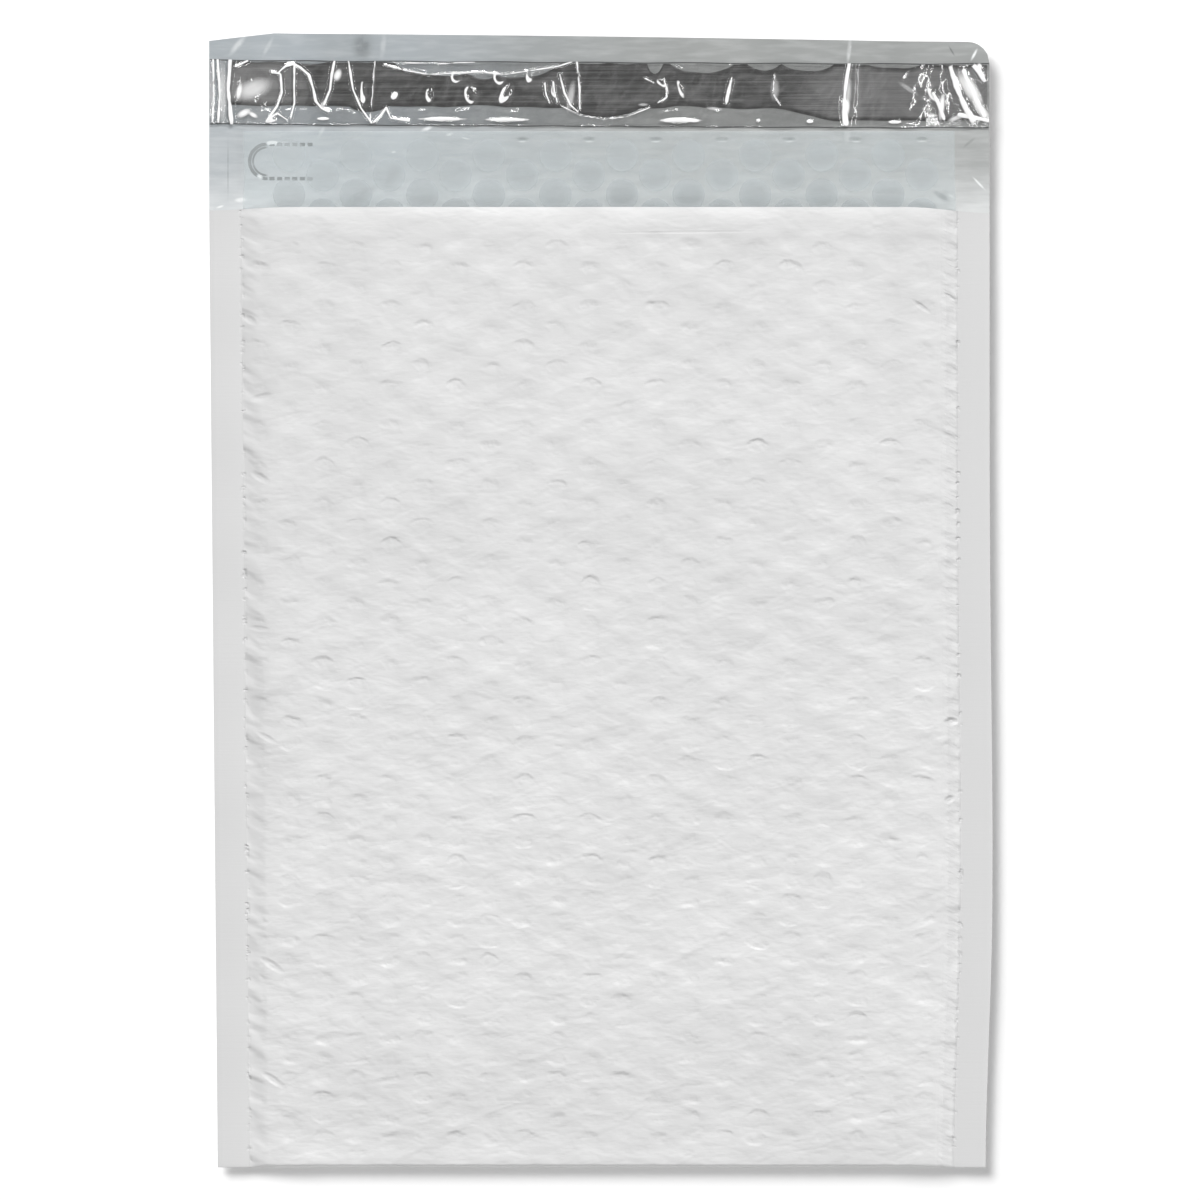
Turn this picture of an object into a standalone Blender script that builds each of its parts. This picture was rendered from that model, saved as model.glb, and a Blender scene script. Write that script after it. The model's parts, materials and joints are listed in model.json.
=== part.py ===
"""Padded mailing envelope, lying open and flat on its back, as Blender solids in metres.

Nodes: outer_film (one web folded at the foot and sealed down both sides, its back going on as the
flap), bubble_lining (one web folded inside it), adhesive_strip and release_liner on the flap.
+Y points to the flap, +X to the right seal, +Z up from the table.
"""

import math

import bpy
import bmesh

# Outline, measured from the middle of the envelope.
HALF_LENGTH = 0.1722        # foot fold to the flap's highest edge is twice this
LEFT_TOP_X = -0.1191        # left edge at the flap
LEFT_FOOT_X = -0.1160       # left edge at the foot: the web was cut slightly out of square
RIGHT_X = 0.1182            # right edge at the flap
RIGHT_BULGE = 0.0009        # how far the right edge bows out below the middle
RIGHT_FOOT_INSET = 0.0013   # how far the right edge draws in at the foot
BULGE_Y = -0.075
BULGE_REACH = 0.065
FLAP_DROP = 0.0030          # how much lower the flap's edge is at its right end
CHAMFER_X = 0.0200          # shallow cut at the flap's left corner
CHAMFER_Y = 0.0026
CORNER_RADIUS = 0.0065      # the flap's right corner
MOUTH_Y = 0.1192            # edge of the front panel
MOUTH_END_DROP = 0.0018     # how much lower it is at the seals
MOUTH_END_REACH = 0.0250

# Films and lining.
FILM = 0.00025              # co-extruded film, thicker here than the real 0.07 mm
GAP = 0.0003                # between neighbouring pieces
LINING = 0.0032             # bubble web, over its bubbles
LINING_SEAL = 0.0004        # the same web crushed at the seals
POCKET = 0.0046             # free height inside
POCKET_CLOSED = 0.0004
SEAL_WIDTH = 0.0097         # flat side seals
SEAL_THICK = 0.0005
SEAL_LIFT = 0.0015          # the seals stand clear of the table
SHOULDER = 0.0080           # from the seal to the full lining
POCKET_SHOULDER = 0.0260    # from the seal to the full pocket
BACK_SHOULDER = 0.0100
FOOT_ROUND = 0.0036         # rounding of the foot fold
FOOT_OPENING = 0.0340       # from the foot to the full pocket
FRONT_LINING_INSET = 0.0070 # front leg of the lining stops short of the mouth
BACK_LINING_END = 0.1424    # back leg runs on under the flap, up to the adhesive

# Closure on the flap.
ADHESIVE_LOW = 0.1484
ADHESIVE_HIGH = 0.1617
ADHESIVE_THICK = 0.0003
ADHESIVE_END_INSET = 0.0012
LINER_LOW = 0.1443
LINER_HIGH = 0.1640
LINER_THICK = 0.00015
LINER_DROP = 0.0012         # the liner's right end is lower, as the flap's edge is

SIDE_STEPS = (0.0, 0.0005, 0.0015, 0.0035, 0.0070, 0.0130, 0.0210, 0.0290)
FOOT_STEPS = (0.0, 0.0003, 0.0010, 0.0020, 0.0032, 0.0046, 0.0080, 0.0140, 0.0240, 0.0380)
MIDDLE_COLUMNS = 5
BODY_ROWS = 6

WHITE_FILM = (0.80, 0.80, 0.80, 1.0)
CLEAR_LINING = (0.62, 0.67, 0.69, 1.0)
ADHESIVE_GREY = (0.36, 0.35, 0.33, 1.0)
CLEAR_LINER = (0.72, 0.73, 0.73, 1.0)


def clamp(value, low=0.0, high=1.0):
    return max(low, min(high, value))


def smooth(value):
    value = clamp(value)
    return value * value * (3.0 - 2.0 * value)


def quarter(distance, reach):
    """Rises from 0 to 1 over reach as a quarter of an ellipse does."""
    part = 1.0 - clamp(distance / reach)
    return math.sqrt(max(0.0, 1.0 - part * part))


def left_edge(y):
    part = (y + HALF_LENGTH) / (2.0 * HALF_LENGTH)
    return LEFT_FOOT_X + (LEFT_TOP_X - LEFT_FOOT_X) * part


def right_edge(y):
    bow = math.exp(-(((y - BULGE_Y) / BULGE_REACH) ** 2))
    foot = smooth((-y - 0.095) / (HALF_LENGTH - 0.095))
    return RIGHT_X + RIGHT_BULGE * bow - RIGHT_FOOT_INSET * foot


def flap_edge(x):
    """The flap's free edge, with its cut left corner and its round right corner."""
    along = clamp((x - LEFT_TOP_X) / (RIGHT_X - LEFT_TOP_X))
    y = HALF_LENGTH - FLAP_DROP * along
    y -= CHAMFER_Y * clamp(1.0 - (x - LEFT_TOP_X) / CHAMFER_X)
    inside = clamp((x - (RIGHT_X - CORNER_RADIUS)) / CORNER_RADIUS)
    return y - CORNER_RADIUS * (1.0 - math.sqrt(1.0 - inside * inside))


def mouth_edge(x):
    end = min(x - LEFT_TOP_X, RIGHT_X - x)
    return MOUTH_Y - MOUTH_END_DROP * (1.0 - smooth(end / MOUTH_END_REACH))


def seal_distance(x, y):
    """How far a point is inside the nearer side seal."""
    return min(x - left_edge(y), right_edge(y) - x) - SEAL_WIDTH


def foot_rounding(x, y):
    """How far the foot fold curls up, which dies out towards the flat seals."""
    full = quarter(seal_distance(x, y), SHOULDER)
    return FOOT_ROUND * full * (1.0 - quarter(y + HALF_LENGTH, FOOT_ROUND))


def back_height(x, y):
    """Underside of the back film over the table."""
    side = SEAL_LIFT * (1.0 - smooth((seal_distance(x, y) + 0.002) / BACK_SHOULDER))
    side *= 1.0 - smooth((y - MOUTH_Y) / 0.040)
    return max(side, foot_rounding(x, y))


def leg_thickness(x, y):
    return LINING_SEAL + (LINING - LINING_SEAL) * quarter(seal_distance(x, y), SHOULDER)


def pocket_height(x, y):
    side = quarter(seal_distance(x, y), POCKET_SHOULDER)
    foot = quarter(y + HALF_LENGTH - 0.004, FOOT_OPENING)
    return POCKET_CLOSED + (POCKET - POCKET_CLOSED) * side * foot


def cavity_height(x, y):
    """Room between the two films."""
    full = 2.0 * GAP + 2.0 * leg_thickness(x, y) + pocket_height(x, y)
    return max(0.0002, full - 2.0 * foot_rounding(x, y))


def film_levels(x, y):
    """Back outside, back inside, front inside and front outside at one point."""
    back = back_height(x, y)
    if seal_distance(x, y) < -1.0e-7:
        near = clamp(-seal_distance(x, y) / 0.0010)
        edge = 2.0 * FILM + cavity_height(x, y)
        thick = edge + (SEAL_THICK - edge) * near
        middle = back + 0.5 * thick
        return back, min(back + FILM, middle), max(back + thick - FILM, middle), back + thick
    inside = back + FILM
    return back, inside, inside + cavity_height(x, y), inside + cavity_height(x, y) + FILM


def lining_levels(x, y):
    _, inside, roof, _ = film_levels(x, y)
    low = inside + GAP
    high = roof - GAP
    leg = min(leg_thickness(x, y), 0.5 * (high - low) - 0.5 * POCKET_CLOSED)
    leg = max(leg, 0.0001)
    return low, low + leg, high - leg, high


def layered_body(name, points, spans):
    """One closed body from a grid of columns.

    points[i][j] is (x, y, heights) and spans[i][j] lists the (low, high) height numbers that are
    solid in the cell between columns i, i + 1 and rows j, j + 1.
    """
    mesh = bmesh.new()
    corner = {}

    def vertex(i, j, level):
        if (i, j, level) not in corner:
            x, y, heights = points[i][j]
            corner[i, j, level] = mesh.verts.new((x, y, heights[level]))
        return corner[i, j, level]

    columns = len(points) - 1
    rows = len(points[0]) - 1

    def cell(i, j):
        inside = 0 <= i < columns and 0 <= j < rows
        return spans[i][j] if inside else ()

    def used_levels(i, j):
        near = [cell(a, b) for a in (i - 1, i) for b in (j - 1, j)]
        return {level for span in near for pair in span for level in pair}

    def stack(i, j, low, high):
        levels = sorted(used_levels(i, j) & set(range(low, high + 1)))
        return [vertex(i, j, level) for level in levels]

    def wall(first, second, low, high):
        mesh.faces.new(stack(*first, low, high) + stack(*second, low, high)[::-1])

    def solid_steps(span):
        return {step for low, high in span for step in range(low, high)}

    for i in range(columns):
        for j in range(rows):
            ring = ((i, j), (i + 1, j), (i + 1, j + 1), (i, j + 1))
            for low, high in cell(i, j):
                mesh.faces.new([vertex(*at, high) for at in ring])
                mesh.faces.new([vertex(*at, low) for at in ring[::-1]])
            sides = (((i, j), (i + 1, j), (i, j - 1)), ((i + 1, j), (i + 1, j + 1), (i + 1, j)),
                     ((i + 1, j + 1), (i, j + 1), (i, j + 1)), ((i, j + 1), (i, j), (i - 1, j)))
            for start, end, beyond in sides:
                bare = solid_steps(cell(i, j)) - solid_steps(cell(*beyond))
                for low, high in runs(bare):
                    wall(end, start, low, high)
    return finish(name, mesh)


def runs(steps):
    """Neighbouring steps joined into (low, high) pairs."""
    found = []
    for step in sorted(steps):
        if found and found[-1][1] == step:
            found[-1][1] = step + 1
        else:
            found.append([step, step + 1])
    return found


def finish(name, mesh):
    bmesh.ops.recalc_face_normals(mesh, faces=mesh.faces)
    data = bpy.data.meshes.new(name)
    mesh.to_mesh(data)
    mesh.free()
    for face in data.polygons:
        face.use_smooth = False
    part = bpy.data.objects.new(name, data)
    bpy.context.scene.collection.objects.link(part)
    return part


def material(name, colour, roughness, metallic=0.0):
    made = bpy.data.materials.new(name)
    made.use_nodes = True
    shader = made.node_tree.nodes["Principled BSDF"]
    shader.inputs["Base Color"].default_value = colour
    shader.inputs["Roughness"].default_value = roughness
    shader.inputs["Metallic"].default_value = metallic
    return made


def across(y, first, last, steps):
    """Column positions from first to last, close together where they near either end."""
    left = [first + step for step in steps]
    right = [last - step for step in steps[::-1]]
    width = right[0] - left[-1]
    count = MIDDLE_COLUMNS
    middle = [left[-1] + width * k / (count + 1) for k in range(1, count + 1)]
    return left + middle + right


def body_rows(top):
    """Row positions from the foot fold to the mouth."""
    foot = [-HALF_LENGTH + step for step in FOOT_STEPS]
    room = top - foot[-1]
    return foot + [foot[-1] + room * k / BODY_ROWS for k in range(1, BODY_ROWS + 1)]


def outer_film():
    """Front panel, back panel, both seals and the flap as one folded and sealed web."""
    body = body_rows(MOUTH_Y)
    flap = (0.25, 0.5, 0.78, 0.92, 1.0)
    seal_steps = (0.0, SEAL_WIDTH - 0.0010) + tuple(SEAL_WIDTH + step for step in SIDE_STEPS)
    corner_steps = (0.0016, 0.0038, 0.0065)
    steps = tuple(sorted(set(seal_steps + corner_steps)))
    rows = len(body) + len(flap)
    columns = 2 * len(steps) + MIDDLE_COLUMNS
    points = [[None] * rows for _ in range(columns)]
    for j in range(rows):
        level = body[j] if j < len(body) else MOUTH_Y
        for i, x in enumerate(across(level, left_edge(level), right_edge(level), steps)):
            y = level
            if j >= len(body) - 1:
                y = mouth_edge(x)
            if j >= len(body):
                y += (flap_edge(x) - y) * flap[j - len(body)]
            elif j > len(FOOT_STEPS) - 1:
                part = (j - len(FOOT_STEPS) + 1) / BODY_ROWS
                y += (mouth_edge(x) - MOUTH_Y) * part
            points[i][j] = (x, y, film_levels(x, level if j < len(body) else y))
    first = steps.index(SEAL_WIDTH)
    last = columns - 1 - first
    spans = [[None] * (rows - 1) for _ in range(columns - 1)]
    for i in range(columns - 1):
        for j in range(rows - 1):
            if j >= len(body) - 1:
                spans[i][j] = ((0, 1),)
            elif first <= i < last and j >= 1:
                spans[i][j] = ((0, 1), (2, 3))
            else:
                spans[i][j] = ((0, 3),)
    part = layered_body("outer_film", points, spans)
    part.data.materials.append(material("outer_film", WHITE_FILM, 0.35))
    return part


def bubble_lining():
    """One web folded at the foot: a short front leg, and a back leg that goes on past the mouth."""
    inset = 0.0006
    front_end = MOUTH_Y - FRONT_LINING_INSET
    foot = -HALF_LENGTH + FILM + GAP + 0.0004
    steps = (0.0, 0.0014, 0.0034, 0.0070, 0.0130, 0.0210)
    rise = (0.0, 0.0006, 0.0014, 0.0026, 0.0040, 0.0075, 0.0135, 0.0235, 0.0375)
    body = [foot + step for step in rise]
    room = front_end - body[-1]
    body += [body[-1] + room * k / BODY_ROWS for k in range(1, BODY_ROWS + 1)]
    beyond = (front_end + 0.010, BACK_LINING_END)
    levels = body + list(beyond)
    columns = 2 * len(steps) + MIDDLE_COLUMNS
    points = [[None] * len(levels) for _ in range(columns)]
    for j, y in enumerate(levels):
        start = left_edge(y) + SEAL_WIDTH + inset
        end = right_edge(y) - SEAL_WIDTH - inset
        for i, x in enumerate(across(y, start, end, steps)):
            points[i][j] = (x, y, lining_levels(x, y))
    fold = rise.index(0.0040)
    spans = [[None] * (len(levels) - 1) for _ in range(columns - 1)]
    for i in range(columns - 1):
        for j in range(len(levels) - 1):
            if j >= len(body) - 1:
                spans[i][j] = ((0, 1),)
            elif j >= fold:
                spans[i][j] = ((0, 1), (2, 3))
            else:
                spans[i][j] = ((0, 3),)
    part = layered_body("bubble_lining", points, spans)
    part.data.materials.append(material("bubble_lining", CLEAR_LINING, 0.25))
    return part


def flap_strip(name, low, high, drop, clear, thick, end_inset, colour, roughness):
    """A thin band across the flap, clear of the film below it."""
    count = 12
    points = []
    for i in range(count + 1):
        column = []
        for part in (0.0, 0.5, 1.0):
            y = low + (high - low) * part
            start = left_edge(y) + end_inset
            end = right_edge(y) - end_inset
            x = start + (end - start) * i / count
            slope = -drop * i / count
            base = film_levels(x, y + slope)[1] + clear
            column.append((x, y + slope, (base, base + thick)))
        points.append(column)
    spans = [[((0, 1),)] * 2 for _ in range(count)]
    part = layered_body(name, points, spans)
    part.data.materials.append(material(name, colour, roughness))
    return part


def adhesive_strip():
    return flap_strip("adhesive_strip", ADHESIVE_LOW, ADHESIVE_HIGH, LINER_DROP, GAP,
                      ADHESIVE_THICK, ADHESIVE_END_INSET, ADHESIVE_GREY, 0.30)


def release_liner():
    clear = 2.0 * GAP + ADHESIVE_THICK
    return flap_strip("release_liner", LINER_LOW, LINER_HIGH, LINER_DROP, clear,
                      LINER_THICK, 0.0002, CLEAR_LINER, 0.12)


def centre(parts):
    """Puts the origin at the middle of the envelope's base."""
    corners = [vertex.co for part in parts for vertex in part.data.vertices]
    middle = [0.5 * (min(c[k] for c in corners) + max(c[k] for c in corners)) for k in (0, 1)]
    base = min(c[2] for c in corners)
    for part in parts:
        for vertex in part.data.vertices:
            vertex.co.x -= middle[0]
            vertex.co.y -= middle[1]
            vertex.co.z -= base


def main():
    for thing in list(bpy.data.objects):
        bpy.data.objects.remove(thing, do_unlink=True)
    parts = [outer_film(), bubble_lining(), adhesive_strip(), release_liner()]
    centre(parts)


main()
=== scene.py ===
"""Builds a bubble-lined film mailing envelope that lies open on a pale floor, closing side up."""

import json
import math

import bpy
import numpy as np
from bpy.props import FloatProperty, PointerProperty, StringProperty
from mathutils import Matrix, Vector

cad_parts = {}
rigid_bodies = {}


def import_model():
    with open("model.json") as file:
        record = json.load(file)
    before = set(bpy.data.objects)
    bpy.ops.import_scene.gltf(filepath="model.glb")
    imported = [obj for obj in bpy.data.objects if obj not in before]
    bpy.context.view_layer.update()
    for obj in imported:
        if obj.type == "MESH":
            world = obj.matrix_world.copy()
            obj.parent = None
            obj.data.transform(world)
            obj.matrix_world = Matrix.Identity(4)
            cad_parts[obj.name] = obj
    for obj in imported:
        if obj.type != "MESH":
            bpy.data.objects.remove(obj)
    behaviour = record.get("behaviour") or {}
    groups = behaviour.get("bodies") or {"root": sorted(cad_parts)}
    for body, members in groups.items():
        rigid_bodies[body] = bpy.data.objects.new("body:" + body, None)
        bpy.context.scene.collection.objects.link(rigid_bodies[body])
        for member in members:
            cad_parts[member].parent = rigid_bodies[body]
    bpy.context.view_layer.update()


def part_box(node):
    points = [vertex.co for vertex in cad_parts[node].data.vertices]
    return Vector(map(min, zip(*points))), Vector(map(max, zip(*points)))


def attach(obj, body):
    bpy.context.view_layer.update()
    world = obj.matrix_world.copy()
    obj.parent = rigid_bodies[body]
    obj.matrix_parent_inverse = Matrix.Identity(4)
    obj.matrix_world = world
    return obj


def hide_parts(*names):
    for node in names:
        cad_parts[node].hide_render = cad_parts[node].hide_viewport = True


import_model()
FILM_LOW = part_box("outer_film")[0]

bl_info = {
    "name": "Padded Envelope",
    "version": (1, 0, 0),
    "blender": (4, 5, 0),
    "location": "3D View > Sidebar > Envelope",
    "description": "Builds a bubble-lined mailing envelope, empty and open, on a pale floor",
    "category": "Add Mesh",
}

# Cut of the web, in metres from the middle of the envelope. The outline's main sizes are the CAD
# part's own; the foot's rounding and the flap's slight bow are the visible film's.
HALF_LENGTH = 0.1722
LEFT_TOP_X, LEFT_FOOT_X = -0.1191, -0.1160
RIGHT_X, RIGHT_BULGE, RIGHT_FOOT_INSET = 0.1182, 0.0009, 0.0013
BULGE_Y, BULGE_REACH = -0.075, 0.065
FLAP_DROP, FLAP_BOW = 0.0030, 0.0005
CHAMFER_X, CHAMFER_Y = 0.0200, 0.0026
CORNER_RADIUS = 0.0065
MOUTH_Y, MOUTH_END_DROP, MOUTH_END_REACH = 0.1192, 0.0018, 0.0250
MOUTH_LEFT_SHARE = 0.55     # the left end drops by this share of the right end's drop
SEAL_WIDTH = 0.0097
FOOT_ROUND = 0.0012
LINING_FRONT_INSET = 0.0070
LINING_BACK_END = 0.1424
ADHESIVE_LOW, ADHESIVE_HIGH = 0.1484, 0.1617
LINER_LOW, LINER_HIGH, LINER_DROP = 0.1443, 0.1640, 0.0012

# Thicknesses, and the air left between neighbouring pieces.
WEB_THICK, ADHESIVE_THICK, LINER_THICK = 0.00004, 0.00010, 0.00003
WEB_BACK_GAP, WEB_FRONT_GAP, ADHESIVE_RISE, LINER_RISE = 0.00008, 0.00025, 0.00028, 0.00016
FLOOR_GAP = 0.00012         # the least that the back film stands off the floor
LIFT_START, LIFT_REACH = 0.034, 0.030       # the side seals rise over this width

# The pocket opens over these lengths from the foot and the seals, and closes towards the mouth.
FOOT_START, FOOT_REACH, POCKET_REACH = 0.004, 0.060, 0.048
CLOSING_FROM, CLOSING_SHARE = 0.040, 0.65
SHOULDER_POWER = 1.7        # how full the padded shoulder is
LIP_REACH, LIP_POWER = 0.0082, 2.6

# How finely each sheet is divided: rows, then columns.
FRONT_ROWS, LIP_ROWS, FLAP_ROWS, MIDDLE_COLUMNS = 128, 15, 34, 98
LINING_FINE_ROWS, LINING_COARSE_ROWS, LINING_COLUMNS, LINING_FINE_FROM = 40, 60, 112, 0.1040
ADHESIVE_ROWS, ADHESIVE_COLUMNS = 40, 560
LINER_ROWS, LINER_COLUMNS = 62, 700
WAVE_COUNT = 7

# The bubbles sit on a hexagonal lattice with upright columns.
COLUMN_PITCH = 0.02022      # between like columns; the row between them is half way
ROW_PITCH = 0.01198
FRONT_PHASE = (0.0070, 0.1037)
BACK_PHASE = (0.0067, 0.1231)
BUBBLE_RADIUS = 0.0050

EASED = {"interpolation_type": "SMOOTHSTEP"}
FLAT = 1e6                  # a scale along Z so large that height doesn't matter
LDPE_IOR, HOT_MELT_IOR = 1.51, 1.49
SENSOR = 36.0               # width of the camera's sensor, in mm
VIEW_LEVEL = 0.004          # height over the floor at which the field of view is measured


def clamp(value, low=0.0, high=1.0):
    return np.clip(value, low, high)


def smooth(value):
    value = clamp(value)
    return value * value * (3.0 - 2.0 * value)


def quarter(distance, reach):
    """Rises from 0 to 1 over reach as a quarter of an ellipse does."""
    part = 1.0 - clamp(distance / reach)
    return np.sqrt(np.maximum(0.0, 1.0 - part * part))


def hill(distance, reach):
    return np.exp(-((distance / reach) ** 2))


def left_edge(y):
    y = np.minimum(y, MOUTH_Y)
    return LEFT_FOOT_X + (LEFT_TOP_X - LEFT_FOOT_X) * (y + HALF_LENGTH) / (2.0 * HALF_LENGTH)


# The raw cut is moved by this much so that its box is the CAD part's.
SHIFT = (FILM_LOW[0] - float(left_edge(MOUTH_Y)), FILM_LOW[1] + HALF_LENGTH)


def right_edge(y):
    y = np.minimum(y, MOUTH_Y)
    foot = smooth((-y - 0.095) / (HALF_LENGTH - 0.095))
    return RIGHT_X + RIGHT_BULGE * hill(y - BULGE_Y, BULGE_REACH) - RIGHT_FOOT_INSET * foot


def flap_edge(x):
    along = clamp((x - LEFT_TOP_X) / (RIGHT_X - LEFT_TOP_X))
    y = HALF_LENGTH - FLAP_DROP * along
    y = y + FLAP_BOW * np.sin(math.pi * along)
    y = y - CHAMFER_Y * clamp(1.0 - (x - LEFT_TOP_X) / CHAMFER_X)
    inside = clamp((x - (RIGHT_X - CORNER_RADIUS)) / CORNER_RADIUS)
    return y - CORNER_RADIUS * (1.0 - np.sqrt(np.maximum(0.0, 1.0 - inside * inside)))


def mouth_edge(x):
    end = np.minimum(x - LEFT_TOP_X, RIGHT_X - x)
    drop = np.where(x < 0.0, MOUTH_LEFT_SHARE, 1.0) * MOUTH_END_DROP
    return MOUTH_Y - drop * (1.0 - smooth(end / MOUTH_END_REACH))


def seal_distance(x, y):
    """How far a point is inside the nearer side seal."""
    return np.minimum(x - left_edge(y), right_edge(y) - x) - SEAL_WIDTH


def slow_waves(x, y, length, seed):
    """A smooth uneven surface from a few long waves, between about -1 and 1."""
    rng = np.random.default_rng(seed)
    total = np.zeros_like(x)
    for _ in range(WAVE_COUNT):
        angle = rng.uniform(0.0, math.pi)
        turn = 2.0 * math.pi / (length * rng.uniform(0.7, 1.6))
        phase = rng.uniform(0.0, 2.0 * math.pi)
        total += np.sin(turn * (x * math.cos(angle) + y * math.sin(angle)) + phase)
    return total / math.sqrt(0.5 * WAVE_COUNT) / 1.6


def bubble_offset(x, y, phase):
    """For each point, its offset from the nearest bubble's middle."""
    found = None
    for half in (0.0, 0.5):
        u = (x - phase[0]) / COLUMN_PITCH + half
        v = (y - phase[1]) / ROW_PITCH + half
        here = ((u - np.round(u)) * COLUMN_PITCH, (v - np.round(v)) * ROW_PITCH)
        if found is None:
            found = here
        else:
            nearer = np.hypot(*here) < np.hypot(*found)
            found = tuple(np.where(nearer, new, old) for new, old in zip(here, found))
    return found


def underside(x, y, sizes):
    """Height of the back film's outside over the floor."""
    right = sizes.right_lift * smooth((x - right_edge(y) + LIFT_START) / LIFT_REACH)
    left = sizes.left_lift * smooth((left_edge(y) + LIFT_START - x) / LIFT_REACH)
    edge = smooth(-seal_distance(x, y) / SEAL_WIDTH + 0.6)
    ripple = 0.00022 * edge * slow_waves(x * 0.3, y, 0.034, 11)
    return np.maximum(FLOOR_GAP, right + left + ripple)


def padding(x, y, sizes):
    """Height of the front film over the back film, without the bubbles' own relief."""
    inside = seal_distance(x, y)
    part = clamp(inside / sizes.shoulder)
    legs = 2.0 * sizes.lining * (1.0 - (1.0 - part) ** SHOULDER_POWER)
    foot = smooth((y + HALF_LENGTH + FOOT_START) / FOOT_REACH)
    mouth = 1.0 - CLOSING_SHARE * smooth((y - CLOSING_FROM) / (MOUTH_Y - CLOSING_FROM))
    pocket = sizes.pocket * smooth(inside / POCKET_REACH) * foot * mouth
    return sizes.seal_thick + legs + pocket


def film_relief(x, y, sizes):
    """How far the front film sinks over the bubbles, sags between them and drops at its lip."""
    inside = seal_distance(x, y)
    room = smooth(inside / 0.007) * smooth((y + HALF_LENGTH) / 0.009)
    lined = smooth((mouth_edge(x) - LINING_FRONT_INSET + 0.002 - y) / 0.004)
    far = np.hypot(*bubble_offset(x, y, FRONT_PHASE))
    dimple = 1.0 - smooth(far / (1.18 * BUBBLE_RADIUS))
    relief = -sizes.bubble_relief * dimple * lined * room
    relief += 0.00030 * room * slow_waves(x, y, 0.070, 3)
    relief += 0.00020 * room * slow_waves(x, y, 0.026, 5)
    lip = mouth_edge(x) - y
    wide = smooth(inside / 0.012)
    relief -= sizes.lip_drop * wide * clamp(1.0 - lip / LIP_REACH) ** LIP_POWER
    relief += 0.00010 * wide * hill(lip - 0.0084, 0.0012)
    return relief


def back_level(x, y, sizes):
    """The back film's outside, with the foot fold rolled up to half the padding's height."""
    roll = 1.0 - quarter(y + HALF_LENGTH, FOOT_ROUND)
    return underside(x, y, sizes) + 0.5 * padding(x, y, sizes) * roll


def front_level(x, y, sizes):
    roll = 1.0 - quarter(y + HALF_LENGTH, FOOT_ROUND)
    high = padding(x, y, sizes)
    return underside(x, y, sizes) + high * (1.0 - 0.5 * roll) + film_relief(x, y, sizes)


def flap_level(x, y, sizes):
    """The flap's outside: flat on the floor, with a few soft creases across it."""
    past = y - MOUTH_Y
    rise = underside(x, y, sizes)
    rise = rise + 0.00025 * smooth(past / 0.012) * (1.0 + slow_waves(x, y * 0.35, 0.048, 21))
    crease = 0.00035 * hill(x - 0.0752 - 0.05 * past, 0.0011)
    crease += 0.00040 * hill(x - 0.1128 - 0.35 * (y - 0.1640), 0.0009) * smooth((y - 0.160) / 0.004)
    crease += 0.00020 * hill(x + 0.1127, 0.0012)
    return rise + crease * smooth(past / 0.006)


def edge_columns():
    """Offsets from a side edge, close together across the seal line and the shoulder."""
    strip = [0.0, 0.0007, 0.0018, 0.0034, 0.0050, 0.0066, 0.0080, 0.0090]
    shoulder = [0.0, 0.0005, 0.0012, 0.0020, 0.0029, 0.0039, 0.0051, 0.0065, 0.0081, 0.0099]
    return strip + [SEAL_WIDTH + step for step in shoulder]


def web_rows():
    roll = [FOOT_ROUND * (1.0 - math.cos(math.radians(a))) for a in range(0, 91, 15)]
    foot = [-HALF_LENGTH + step for step in roll]
    body = list(np.linspace(foot[-1], MOUTH_Y - 0.013, FRONT_ROWS)[1:])
    lip = list(np.linspace(body[-1], MOUTH_Y, LIP_ROWS)[1:])
    return foot + body + lip


def web_grid():
    """x and y of every grid point of the back web, and how many rows the front panel has."""
    rows = web_rows()
    offsets = np.array(edge_columns())
    grid_x, grid_y = [], []
    for k in range(len(rows) + FLAP_ROWS):
        y = rows[min(k, len(rows) - 1)]
        start, end = left_edge(y), right_edge(y)
        inner = np.linspace(start + offsets[-1], end - offsets[-1], MIDDLE_COLUMNS + 2)[1:-1]
        x = np.concatenate([start + offsets, inner, (end - offsets)[::-1]])
        if k < len(rows):
            share = smooth((y - MOUTH_Y + 0.06) / 0.06)
            line = y + (mouth_edge(x) - MOUTH_Y) * share
        else:
            part = (k - len(rows) + 1) / FLAP_ROWS
            line = mouth_edge(x) + (flap_edge(x) - mouth_edge(x)) * part
        grid_x.append(x)
        grid_y.append(line)
    return np.array(grid_x), np.array(grid_y), len(rows)


def clear_selection():
    for thing in list(bpy.context.selected_objects):
        thing.select_set(False)


def grid_faces(number, flip=False):
    """Faces of a grid whose rows run towards +Y: they look up, or down if flipped."""
    corners = [number[:-1, :-1], number[:-1, 1:], number[1:, 1:], number[1:, :-1]]
    if flip:
        corners = [corners[k] for k in (0, 3, 2, 1)]
    return np.stack(corners, -1).reshape(-1, 4)


def new_piece(name, points, faces, materials):
    """A mesh object in the CAD part's frame, made active and alone selected."""
    clear_selection()
    points = np.asarray(points, float) + (SHIFT[0], SHIFT[1], 0.0)
    data = bpy.data.meshes.new(name)
    data.from_pydata(points.tolist(), [], faces)
    for made in materials:
        data.materials.append(made)
    data.update()
    piece = bpy.data.objects.new(name, data)
    bpy.context.scene.collection.objects.link(piece)
    bpy.context.view_layer.objects.active = piece
    piece.select_set(True)
    return piece


def give_thickness(piece, thickness, inner_offset=0, offset=-1.0):
    """Turns a sheet into a closed film; inner_offset picks the inside's material slot."""
    wall = piece.modifiers.new("film thickness", "SOLIDIFY")
    wall.thickness = thickness
    wall.offset = offset
    wall.use_even_offset = False
    wall.material_offset = inner_offset
    wall.material_offset_rim = 0
    bpy.ops.object.modifier_apply(modifier=wall.name)


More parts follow.
